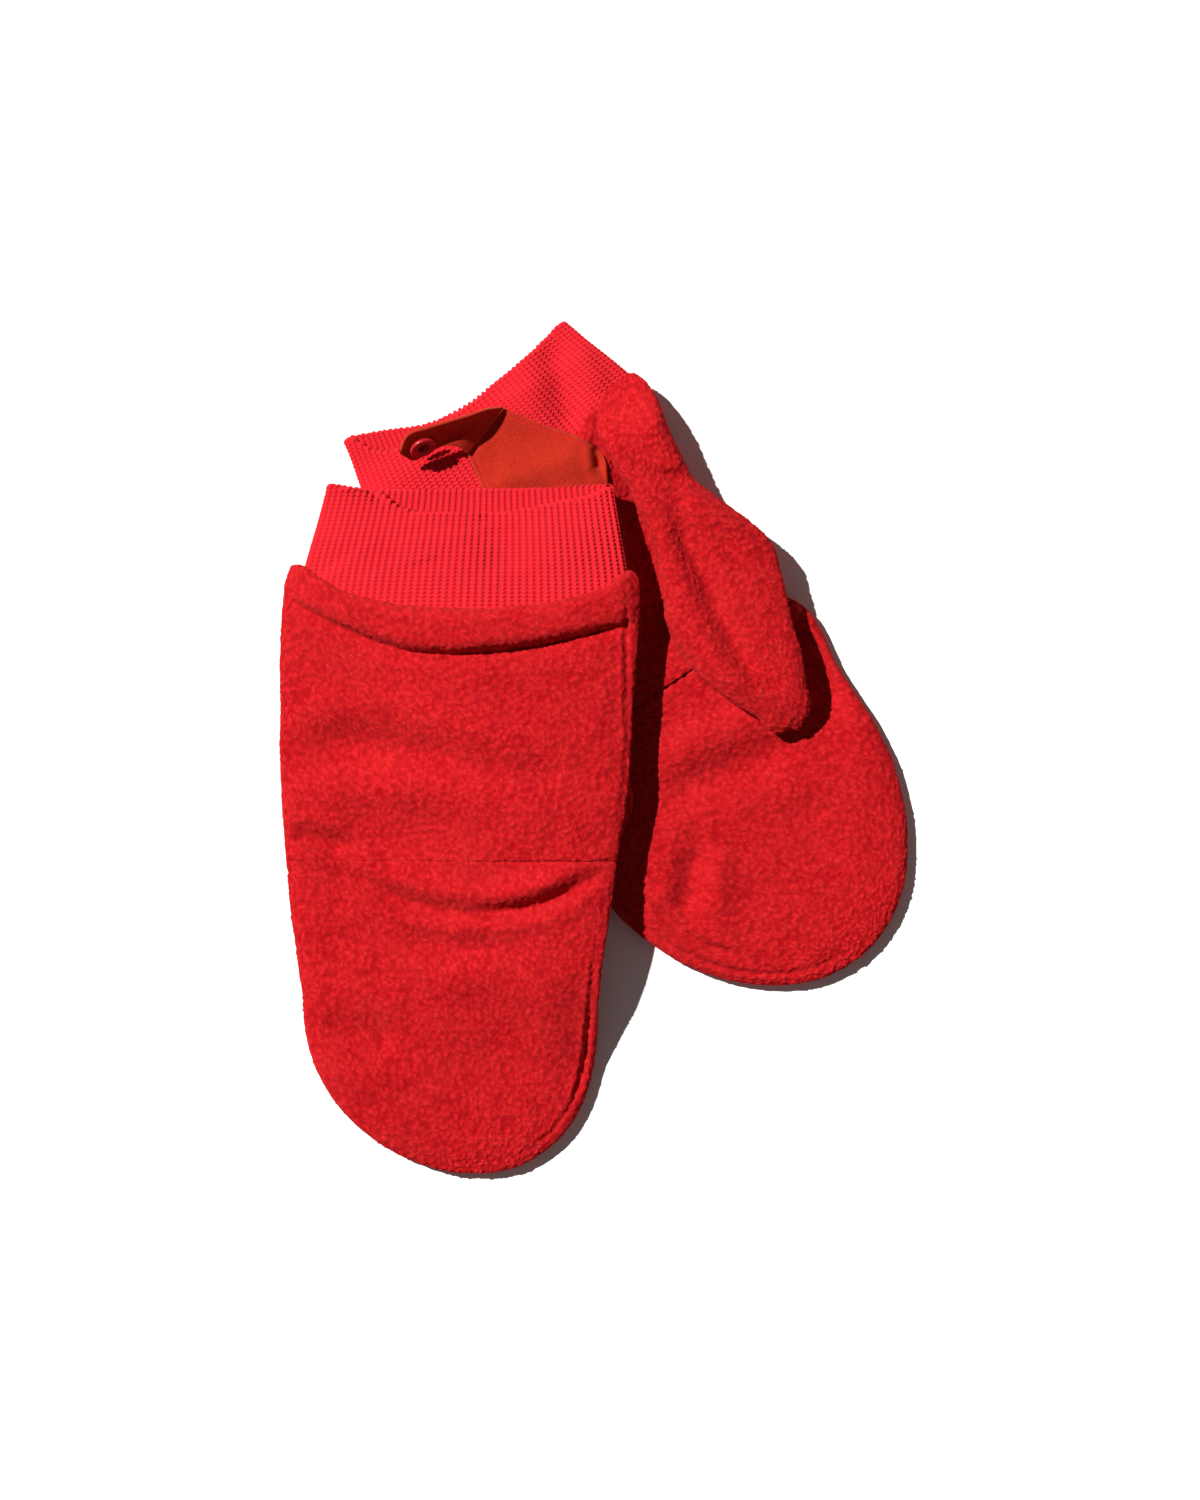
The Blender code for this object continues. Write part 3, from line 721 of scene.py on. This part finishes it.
def fleece_panel(name, shape, span, spacing, settings, upper, belongs):
    """A fleece wall laid over a span. belongs is its body, if it rides one, and its CAD node."""
    piece = mapped_grid(name, int(span[0] / spacing), int(span[1] / spacing), shape)
    face_along(piece, (0, 0, 1 if upper else -1))
    raise_nap(piece, settings.nap_size, settings.nap_height * (1.0 if upper else 0.5))
    merge_doubles(piece, closed=False)
    thicken(piece, settings.fleece_thickness)
    return finish_piece(piece, material("napped_fleece", settings), "fleece", *belongs)


def bend_over_knuckles(piece, mitten):
    mitten.point(0, 136.5)
    mitten.point(0, 149)
    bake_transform(piece)


def build_hand(mitten, settings):
    side = mitten.side
    palm_up = mitten is LEFT
    face_up, face_down = ("palm", "back") if palm_up else ("back", "palm")
    shape = panel_shape(mitten, mitten.edge, PALM_END if palm_up else SEAM_V, True, mitten.folds)
    fleece_panel(f"{side}_{face_up}_fleece", shape, HAND_SPAN, settings.fine_step, settings, True,
                 (side + "_hand", f"{side}_{face_up}_panel"))
    shape = panel_shape(mitten, LOWER_EDGE, SEAM_V if palm_up else UNDER_END, False, [])
    fleece_panel(f"{side}_{face_down}_fleece", shape, HAND_SPAN, settings.coarse_step, settings,
                 False, (side + "_hand", f"{side}_{face_down}_panel"))
    build_finger_hem(mitten, settings)


def build_hood(mitten, settings):
    side = mitten.side
    for upper in (True, False):
        is_palm = upper == (mitten is LEFT)
        face = "palm" if is_palm else "back"
        first = HOOD_HEM_END if is_palm else SEAM_V - 1.2
        spacing = settings.fine_step if upper else settings.coarse_step
        shape = panel_shape(mitten, first, None, upper, mitten.folds, tip=True)
        body = side + "_hood" if is_palm else None
        piece = fleece_panel(f"{side}_hood_{face}_fleece", shape, HOOD_SPAN, spacing, settings,
                             upper, (body, f"{side}_hood_{face}_panel"))
        if not is_palm:
            bend_over_knuckles(piece, mitten)
    build_hood_hem(mitten, settings)


def band_shape(mitten, hem, span, inset=0.0):
    """A rolled band of hem. span is its run round the section, with a side of it from -1 to 1."""
    centre_v, width, bulge = hem

    def shape(across, along):
        turn = 2 * np.pi * along
        q = span[0] + (span[1] - span[0]) * across
        upper = (q >= -1) & (q <= 1)
        wrapped = np.where(upper, q, np.where(q > 1, 2 - q, -2 - q))
        x = section_x(np.clip(wrapped, -1, 1))
        centre, half = mitten.outline(np.full_like(x, centre_v))
        sign = np.where(upper, 1.0, -1.0) * (1.0 if mitten is LEFT else -1.0)
        covered = 0.0 if inset == 0 else np.where(upper, 0.0, 1.6)
        out = bulge * np.cos(turn) - inset - covered
        u = centre + (half + out - 1.3) * x
        v = centre_v + width / 2 * np.sin(turn)
        level = (THICKNESS / 2 - 0.6 + out) * crown(x)
        return mitten.points(u, v, THICKNESS / 2 + sign * level)

    return shape


def soft_band(name, shape, columns, settings, belongs):
    piece = mapped_grid(name, 14, columns, shape)
    merge_doubles(piece, closed=True)
    raise_nap(piece, settings.nap_size, settings.nap_height)
    return finish_piece(piece, material("napped_fleece", settings), "fleece", *belongs)


def build_finger_hem(mitten, settings):
    """The band round the finger opening, all the way round the hand."""
    shape = band_shape(mitten, FINGER_HEM, (-2.0, 2.0), inset=0.9)
    soft_band(f"{mitten.side}_finger_hem", shape, 300, settings,
              (mitten.side + "_hand", f"{mitten.side}_finger_opening_hem"))


def build_hood_hem(mitten, settings):
    shape = band_shape(mitten, HOOD_HEM, (-1.0, 1.0))
    soft_band(f"{mitten.side}_hood_hem_fleece", shape, 200, settings,
              (mitten.side + "_hood", f"{mitten.side}_hood_hem"))


# Thumbs


def thumb_shape(mitten, heights, shift, upper):
    bottom, root_top, tip_top = heights
    start, last = THUMB[0][0], THUMB[-1][0]
    straight = 0.86

    def shape(across, along):
        x = section_x(2 * across - 1)
        bend = np.clip((along - straight) / (1 - straight), 0, 1)
        v = np.where(along < straight, start + (THUMB_BEND_V - start) * along / straight,
                     THUMB_BEND_V + (last - THUMB_BEND_V) * np.sin(np.pi / 2 * bend))
        inner_edge, outer_edge = read_table(THUMB, v, 1), read_table(THUMB, v, 2)
        rounding = np.clip((v - THUMB_ROUND_V) / (last - THUMB_ROUND_V), 0, 1)
        centre = (inner_edge + outer_edge) / 2
        half = np.where(v < THUMB_ROUND_V, (outer_edge - inner_edge) / 2,
                        10.5 * np.sqrt(1 - rounding ** 2.2))
        u = centre + half * x
        t = np.clip((v - THUMB_TAPER_V) / (last - THUMB_TAPER_V), 0, 1)
        past = np.clip((t - 0.75) / 0.25, 0, 1)
        full = (root_top + (tip_top - root_top) * t - bottom) / 2
        rooted = step(33, 58, v)
        full = full * np.sqrt(1 - past ** 2) * (0.1 + 0.9 * rooted)
        low = bottom - 1.7 * (1 - rooted)
        x_place, y_place = mitten.place(u + shift, v)
        middle = low * mitten.over_under(x_place, y_place) + full
        if mitten is LEFT:
            middle = middle + THUMB_CURL * step(120, 172, v)
        rise = full * crown(x) - RIM_LAP * (1 - crown(x))
        if upper:
            rise = rise + fold_height(THUMB_FOLDS, u, v) * step(0, 5, half * (1 - np.abs(x)))
        else:
            rise = -rise
        return np.stack([x_place, y_place, middle + rise], -1) * MM

    return shape


def build_thumb(mitten, settings):
    side = mitten.side
    shown = mitten is LEFT
    heights, shift = (LEFT_THUMB_Z, 0.0) if shown else (RIGHT_THUMB_Z, RIGHT_THUMB_SHIFT)
    for part, upper in (("upper", True), ("lower", False)):
        spacing = settings.fine_step if shown and upper else settings.coarse_step
        shape = thumb_shape(mitten, heights, shift, upper)
        body = None if shown else "right_hand"
        piece = fleece_panel(f"{side}_thumb_{part}_fleece", shape, THUMB_SPAN, spacing, settings,
                             upper, (body, f"{side}_thumb_{part}_panel"))
        if shown:
            mitten.point(47, 38, 11.1)
            mitten.point(47, 62, 11.1)
            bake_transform(piece)


# Ribbed cuffs


CUFF_OUT = 0.70        # share of the knit that runs outside, and where the turned lip ends
CUFF_LIP = 0.80
CUFF_INSIDE = 16.0     # how far the knit runs back inside the mouth
CUFF_UNDER = 0.45      # how much lower than the fleece the knit lies where they meet


def cuff_height(v, lip_height):
    """Half height of the cuff's section: flat at the mouth, fuller at the fleece."""
    return lip_height + (THICKNESS / 2 - CUFF_UNDER - lip_height) * step(4, 22, v)


def cuff_shape(mitten, lip_line, mouth_line, folds, settings, record):
    """A doubled tube: out along the wrist, round the lip and back inside."""
    wall = settings.rib_thickness
    radius = wall / 2

    def shape(across, along):
        upper = across < 0.5
        q = np.where(upper, 1 - 4 * across, 4 * across - 3)
        x = section_x(np.clip(q, -1, 1))
        u_flat = read_table(mitten.cuff, np.full_like(x, 10.0), 2) * x
        lip = np.where(upper, read_table(lip_line, u_flat, 1), read_table(mouth_line, u_flat, 1))
        base_u = read_table(mitten.cuff, np.full_like(x, 40.0), 2) * x
        base = np.where(upper, read_table(mitten.edge, base_u, 1) + 4.0, 38.0)
        out = along < CUFF_OUT
        turn = np.pi * np.clip((along - CUFF_OUT) / (CUFF_LIP - CUFF_OUT), 0, 1)
        edge_v = lip + radius
        run = np.where(out, (CUFF_OUT - along) / CUFF_OUT, 0)
        deep = CUFF_INSIDE * np.where(along > CUFF_LIP, (along - CUFF_LIP) / (1 - CUFF_LIP), 0)
        v = edge_v + run * (base - edge_v) + deep - radius * np.sin(turn)
        inset = radius * (1 - np.cos(turn))
        centre = read_table(mitten.cuff, v, 1)
        half = read_table(mitten.cuff, v, 2) - inset
        pucker = 0.0
        if mitten is RIGHT:
            pucker = 0.8 * step(-22, -15, u_flat) * step(-8, -2, -u_flat) * upper
        depth = cuff_height(v, wall + 0.35) + pucker * (1 - step(8, 16, v))
        u = centre + half * x
        level = np.maximum(depth - inset, 0.15) * crown(x)
        rise = np.where(upper, level, -level)
        rise = rise + fold_height(folds, u, v) * upper * step(0, 8, half * (1 - np.abs(x)))
        record["run"] = np.where(out, v, edge_v - deep)
        record["round"] = across
        return mitten.points(u, v, depth + 0.3 + rise)

    return shape


def build_cuff(mitten, settings):
    lip_line, mouth_line, folds = ((LEFT_LIP, LEFT_MOUTH, LEFT_CUFF_FOLDS) if mitten is LEFT
                                   else (RIGHT_LIP, RIGHT_MOUTH, RIGHT_CUFF_FOLDS))
    ribs = round(CUFF_GIRTH / settings.rib_pitch)
    record = {}
    name = mitten.side + "_cuff_knit"
    shape = cuff_shape(mitten, lip_line, mouth_line, folds, settings, record)
    piece = mapped_grid(name, int(CUFF_SPAN / settings.knit_step), ribs * 6, shape)
    across = record["round"] * ribs
    stitch_length = settings.rib_pitch * 0.62
    wave = np.cos(2 * np.pi * across)
    ridge = np.clip(0.62 + 0.72 * wave, 0, 1) ** 0.8
    beside = np.abs(np.mod(across + 0.5, 1.0) - 0.5)
    loops = 0.5 + 0.5 * np.cos(2 * np.pi * (record["run"] / stitch_length + beside * 1.1))
    store(piece.data, "rib", ridge)
    store(piece.data, "stitch", loops)
    merge_doubles(piece, closed=True)
    points, normals = vertex_arrays(piece.data)
    values = {}
    for key in ("rib", "stitch"):
        values[key] = np.empty(len(points), np.float32)
        piece.data.attributes[key].data.foreach_get("value", values[key])
    lift = (values["rib"] - 0.6) * settings.rib_height
    lift = lift + (values["stitch"] - 0.5) * settings.rib_height * (0.75 - 0.35 * values["rib"])
    lift = lift + noise_at(points, 700) * 0.08
    points = points + normals * lift[:, None] * MM
    piece.data.vertices.foreach_set("co", points.reshape(-1))
    piece.data.update()
    finish_piece(piece, material("ribbed_knit", settings), "rib_knit", mitten.side + "_hand",
                 mitten.side + "_rib_cuff")


# Suede


def palm_top(mitten, u, v):
    """Height of the palm under the patch: the fleece, and the lower cuff before it."""
    centre, half = mitten.outline(np.maximum(v, CUFF_LENGTH))
    fleece = THICKNESS / 2 * crown((u - centre) / half)
    begin = read_table(LEFT_EDGE, u, 1)
    return THICKNESS / 2 + fleece - 0.5 * (1 - step(-2.0, 4.0, v - begin))


def points_between(line, along, count):
    """Points at shares of the way along a smooth line of a count of steps."""
    points = curve_points(line, count)
    steps = np.linspace(0, 1, count)
    return np.stack([np.interp(along, steps, column) for column in points.T], -1)


def thread_line(distance, inset):
    return np.exp(-((distance - inset) / 0.35) ** 2)


def build_patch(mitten, settings):
    upper = mitten is LEFT
    marks = {}

    def shape(across, along):
        left, right = (points_between(line, along, 80) for line in (PATCH_LEFT, PATCH_RIGHT))
        place = left + (right - left) * across[:, None]
        u, v = place[:, 0], place[:, 1]
        span = np.linalg.norm(right - left, axis=1)
        edge = np.minimum(np.minimum(across, 1 - across) * span, along * PATCH_SPAN[0])
        marks["edge"] = edge
        lift = PATCH_LIFT + 0.8 * np.sqrt(np.clip(edge / 0.8, 0, 1))
        if upper:
            z = palm_top(mitten, u, v) + lift
            z = z + fold_height(PATCH_FOLDS, u, v) * step(-6, 2, edge)
            z = z - 0.35 * thread_line(edge, PATCH_STITCH)
            return mitten.points(u, v, z)
        centre, half = mitten.outline(np.maximum(v, CUFF_LENGTH))
        under = THICKNESS / 2 * (1 - crown((u - centre) / half))
        return mitten.points(u, v, under - PATCH_WALL - lift)

    spacing = 0.6 if upper else 1.4
    rows, columns = (int(length / spacing) for length in PATCH_SPAN)
    piece = mapped_grid(mitten.side + "_palm_suede", rows, columns, shape)
    face_along(piece, (0, 0, 1 if upper else -1))
    store(piece.data, "thread", thread_line(marks["edge"], PATCH_STITCH) * 0.55)
    merge_doubles(piece, closed=False)
    thicken(piece, PATCH_WALL)
    finish_piece(piece, material("brushed_suede", settings), "suede", mitten.side + "_hand",
                 mitten.side + "_palm_patch")


def build_tab(mitten, settings):
    left = mitten is LEFT
    upper, lower = ((LEFT_TAB_UPPER, LEFT_TAB_LOWER) if left
                    else (RIGHT_TAB_UPPER, RIGHT_TAB_LOWER))
    marks = {}

    def shape(across, along):
        low, high = (points_between(line, along, 60) for line in (lower, upper))
        rounding = np.clip((along - TAB_ROUND) / (1 - TAB_ROUND), 0, 1)
        drawn_in = 0.5 * (1 - np.sqrt(1 - rounding ** 2))
        share = drawn_in + (1 - 2 * drawn_in) * across
        place = low + (high - low) * share[:, None]
        span = np.linalg.norm(high - low, axis=1)
        marks["edge"] = np.minimum(np.minimum(across, 1 - across) * span, (1 - along) * 42)
        cup = np.sin(np.pi * across) * 0.9 if left else 0
        x, y = mitten.place(place[:, 0], place[:, 1])
        return np.stack([x, y, place[:, 2] - cup], -1) * MM

    piece = mapped_grid(mitten.side + "_tab_suede", 72, 30, shape)
    face_along(piece, (0, 1, 0) if left else (0, 0, 1))
    store(piece.data, "thread", thread_line(marks["edge"], TAB_STITCH) * 0.55)
    merge_doubles(piece, closed=False)
    thicken(piece, TAB_THICKNESS, 0.0)
    finish_piece(piece, material("brushed_suede", settings), "suede", None, mitten.side + "_tab")
    if left:
        mitten.point(-1, 23, 11.3)
        mitten.point(-6, 17, 14.0)
        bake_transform(piece)
    else:
        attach(piece, "right_hand")


# Snaps


def arc(centre_r, centre_z, radius, start_deg, end_deg, count):
    angles = np.radians(np.linspace(start_deg, end_deg, count))
    return [(centre_r + radius * float(np.cos(a)), centre_z + radius * float(np.sin(a)))
            for a in angles]


# Turned profiles of the snaps, (radius, height) in mm
CAP = [(0, 0), (4.4, 0), *arc(4.4, 0.22, 0.22, -90, 60, 5), (3.4, 0.72), (2.2, 0.92), (0, 1.0)]
SOCKET = [(2.3, 0.0), (4.6, 0.0), *arc(4.35, 1.0, 0.65, -20, 110, 7), (3.7, 1.45), (3.3, 1.1),
          *arc(2.7, 1.15, 0.45, 30, 180, 6), (2.2, 0.6)]
STUD = [(0, 0), (4.7, 0), *arc(4.4, 0.4, 0.35, -60, 90, 6), (2.0, 0.7), (1.5, 0.9),
        *arc(1.2, 1.4, 0.45, -30, 80, 6), (0, 1.9)]
CAP_SINK = 0.5         # how far a cap's base lies in from its solid's middle
MATE_SINK = 0.95       # and the other half's


def lathed(name, profile, centre, out, closed, settings, belongs):
    """A round part turned from a profile (radius, height), its base at centre facing out."""
    bm = bmesh.new()
    verts = [bm.verts.new((r * MM, 0, z * MM)) for r, z in profile]
    pairs = list(zip(verts, verts[1:])) + ([(verts[-1], verts[0])] if closed else [])
    edges = [bm.edges.new(pair) for pair in pairs]
    bmesh.ops.spin(bm, geom=verts + edges, cent=(0, 0, 0), axis=(0, 0, 1), angle=2 * np.pi,
                   steps=48, use_merge=True)
    bmesh.ops.remove_doubles(bm, verts=bm.verts, dist=0.01 * MM)
    bmesh.ops.recalc_face_normals(bm, faces=bm.faces)
    mesh = bpy.data.meshes.new(name)
    bm.to_mesh(mesh)
    bm.free()
    turn = Vector(out).to_track_quat("Z", "Y").to_matrix().to_4x4()
    turn.translation = Vector(centre)
    mesh.transform(turn)
    piece = bpy.data.objects.new(name, mesh)
    bpy.context.scene.collection.objects.link(piece)
    return finish_piece(piece, material("snap_enamel", settings), "snap", *belongs)


def build_snap(mitten, settings):
    side = mitten.side
    mate, profile = ("socket", SOCKET) if mitten is LEFT else ("stud", STUD)
    cap_low, cap_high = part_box(side + "_snap_cap")
    low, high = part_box(f"{side}_snap_{mate}")
    cap_middle, mate_middle = (cap_low + cap_high) / 2, (low + high) / 2
    out = (cap_middle - mate_middle).normalized()
    body = "left_tab" if mitten is LEFT else "right_hand"
    lathed(side + "_snap_cap_enamel", CAP, cap_middle - out * CAP_SINK * MM, out, False, settings,
           (body, side + "_snap_cap"))
    lathed(f"{side}_snap_{mate}_enamel", profile, mate_middle + out * MATE_SINK * MM, -out,
           mitten is LEFT, settings, (body, f"{side}_snap_{mate}"))


# Studio


FLOOR_REACH = 2.5
FLOOR_DROP = 0.0004    # keeps the floor clear of the fleece that rests on it
FILL_COLOUR = (1.0, 0.93, 0.9, 1)
CAMERA_PLACE = (0.0023, -0.0009, 1.5417)


def build_studio(settings):
    scene = bpy.context.scene
    bm = bmesh.new()
    bmesh.ops.create_grid(bm, x_segments=8, y_segments=8, size=FLOOR_REACH)
    mesh = bpy.data.meshes.new("floor")
    bm.to_mesh(mesh)
    bm.free()
    mesh.transform(Matrix.Translation((0, 0, -FLOOR_DROP)))
    floor = bpy.data.objects.new("floor", mesh)
    floor.data.materials.append(material("floor_paper", settings))
    scene.collection.objects.link(floor)
    lamp = bpy.data.lights.new("key_light", "SUN")
    lamp.energy = settings.key_strength
    lamp.angle = settings.key_softness
    key = bpy.data.objects.new("key_light", lamp)
    key.rotation_euler = Vector(settings.key_direction).to_track_quat("-Z", "Y").to_euler()
    scene.collection.objects.link(key)
    world = bpy.data.worlds.new("studio_fill")
    world.use_nodes = True
    back = world.node_tree.nodes["Background"]
    back.inputs["Color"].default_value = FILL_COLOUR
    back.inputs["Strength"].default_value = settings.fill_strength
    scene.world = world
    scene.view_settings.view_transform = "Standard"
    camera = bpy.data.cameras.new("camera")
    camera.lens = 100
    camera.sensor_width = 36
    camera.clip_end = 20
    eye = bpy.data.objects.new("camera", camera)
    eye.location = CAMERA_PLACE
    scene.collection.objects.link(eye)
    scene.camera = eye


# Settings, operators and panel


class MittenSettings(bpy.types.PropertyGroup):
    fleece_colour: FloatVectorProperty(name="Fleece colour", description="Colour of the fleece",
                                       subtype="COLOR", default=(0.62, 0.0135, 0.0165))
    fleece_sheen: FloatProperty(name="Fleece sheen", description="Soft glow of the nap at its edges",
                                default=0.1, min=0, max=1)
    fleece_thickness: FloatProperty(name="Fleece thickness", description="Wall of the fleece, mm",
                                    default=1.5, min=0.5)
    nap_size: FloatProperty(name="Nap size", description="Width of a curled tuft, mm", default=1.75)
    nap_height: FloatProperty(name="Nap height", description="Height of the tufts, mm",
                              default=0.75)
    rib_colour: FloatVectorProperty(name="Knit colour", description="Colour of the ribbed cuffs",
                                    subtype="COLOR", default=(0.69, 0.018, 0.028))
    rib_pitch: FloatProperty(name="Rib pitch", description="Width of one rib, mm", default=2.4)
    rib_height: FloatProperty(name="Rib height", description="Height of one rib, mm", default=0.62)
    rib_thickness: FloatProperty(name="Knit thickness", description="Wall of the cuff, mm",
                                 default=2.0)
    suede_colour: FloatVectorProperty(name="Suede colour", description="Colour of patch and tab",
                                      subtype="COLOR", default=(0.5, 0.023, 0.012))
    snap_colour: FloatVectorProperty(name="Snap colour", description="Colour of the enamelled snaps",
                                     subtype="COLOR", default=(0.5, 0.01, 0.015))
    floor_colour: FloatVectorProperty(name="Floor colour", description="Colour of the floor",
                                      subtype="COLOR", default=(0.9, 0.9, 0.9))
    fine_step: FloatProperty(name="Fine mesh step", description="Mesh spacing on seen sides, mm",
                             default=0.62)
    coarse_step: FloatProperty(name="Coarse mesh step", description="Mesh spacing underneath, mm",
                               default=1.3)
    knit_step: FloatProperty(name="Knit mesh step", description="Mesh spacing along a rib, mm",
                             default=0.37)
    key_strength: FloatProperty(name="Key light", description="Strength of the hard light",
                                default=5.4)
    key_softness: FloatProperty(name="Key softness", description="Angle that the light fills",
                                subtype="ANGLE", default=0.02)
    key_direction: FloatVectorProperty(name="Key direction", description="Way the light travels",
                                       subtype="DIRECTION", default=(17.8, -12.6, -26))
    fill_strength: FloatProperty(name="Fill light", description="Strength of the light all round",
                                 default=0.1)


class MITTENS_OT_cuffs(bpy.types.Operator):
    """Knit the two ribbed cuffs"""
    bl_idname = "mittens.cuffs"
    bl_label = "Ribbed cuffs"

    def execute(self, context):
        for mitten in (LEFT, RIGHT):
            build_cuff(mitten, context.scene.mittens)
        return {"FINISHED"}


class MITTENS_OT_hands(bpy.types.Operator):
    """Sew the fleece of the two hands, with the hems of the finger openings"""
    bl_idname = "mittens.hands"
    bl_label = "Hand fleece"

    def execute(self, context):
        for mitten in (LEFT, RIGHT):
            build_hand(mitten, context.scene.mittens)
        return {"FINISHED"}


class MITTENS_OT_hoods(bpy.types.Operator):
    """Sew the two flip-over hoods"""
    bl_idname = "mittens.hoods"
    bl_label = "Hoods"

    def execute(self, context):
        for mitten in (LEFT, RIGHT):
            build_hood(mitten, context.scene.mittens)
        return {"FINISHED"}


class MITTENS_OT_thumbs(bpy.types.Operator):
    """Sew the two thumbs"""
    bl_idname = "mittens.thumbs"
    bl_label = "Thumbs"

    def execute(self, context):
        for mitten in (LEFT, RIGHT):
            build_thumb(mitten, context.scene.mittens)
        return {"FINISHED"}


class MITTENS_OT_suede(bpy.types.Operator):
    """Cut the suede palm patches and tabs"""
    bl_idname = "mittens.suede"
    bl_label = "Suede patches and tabs"

    def execute(self, context):
        for mitten in (LEFT, RIGHT):
            build_patch(mitten, context.scene.mittens)
            build_tab(mitten, context.scene.mittens)
        return {"FINISHED"}


class MITTENS_OT_snaps(bpy.types.Operator):
    """Turn the snap caps, the socket and the stud"""
    bl_idname = "mittens.snaps"
    bl_label = "Snaps"

    def execute(self, context):
        for mitten in (LEFT, RIGHT):
            build_snap(mitten, context.scene.mittens)
        return {"FINISHED"}


class MITTENS_OT_studio(bpy.types.Operator):
    """Set up the floor, the lights and the camera"""
    bl_idname = "mittens.studio"
    bl_label = "Studio"

    def execute(self, context):
        build_studio(context.scene.mittens)
        return {"FINISHED"}


class MITTENS_PT_sidebar(bpy.types.Panel):
    """Lists the mittens' pieces and settings"""
    bl_label = "Mittens"
    bl_idname = "MITTENS_PT_sidebar"
    bl_space_type = "VIEW_3D"
    bl_region_type = "UI"
    bl_category = "Mittens"

    def draw(self, context):
        for operator in OPERATORS:
            self.layout.operator(operator.bl_idname)
        for name in MittenSettings.__annotations__:
            self.layout.prop(context.scene.mittens, name)


OPERATORS = (MITTENS_OT_cuffs, MITTENS_OT_hands, MITTENS_OT_hoods, MITTENS_OT_thumbs,
             MITTENS_OT_suede, MITTENS_OT_snaps, MITTENS_OT_studio)


def register():
    bpy.utils.register_class(MittenSettings)
    bpy.types.Scene.mittens = PointerProperty(type=MittenSettings)
    for operator in OPERATORS:
        bpy.utils.register_class(operator)
    bpy.utils.register_class(MITTENS_PT_sidebar)


def unregister():
    bpy.utils.unregister_class(MITTENS_PT_sidebar)
    for operator in reversed(OPERATORS):
        bpy.utils.unregister_class(operator)
    del bpy.types.Scene.mittens
    bpy.utils.unregister_class(MittenSettings)


def main():
    register()
    bpy.ops.mittens.cuffs()
    bpy.ops.mittens.hands()
    bpy.ops.mittens.hoods()
    bpy.ops.mittens.thumbs()
    bpy.ops.mittens.suede()
    bpy.ops.mittens.snaps()
    bpy.ops.mittens.studio()


if __name__ == "__main__":
    main()
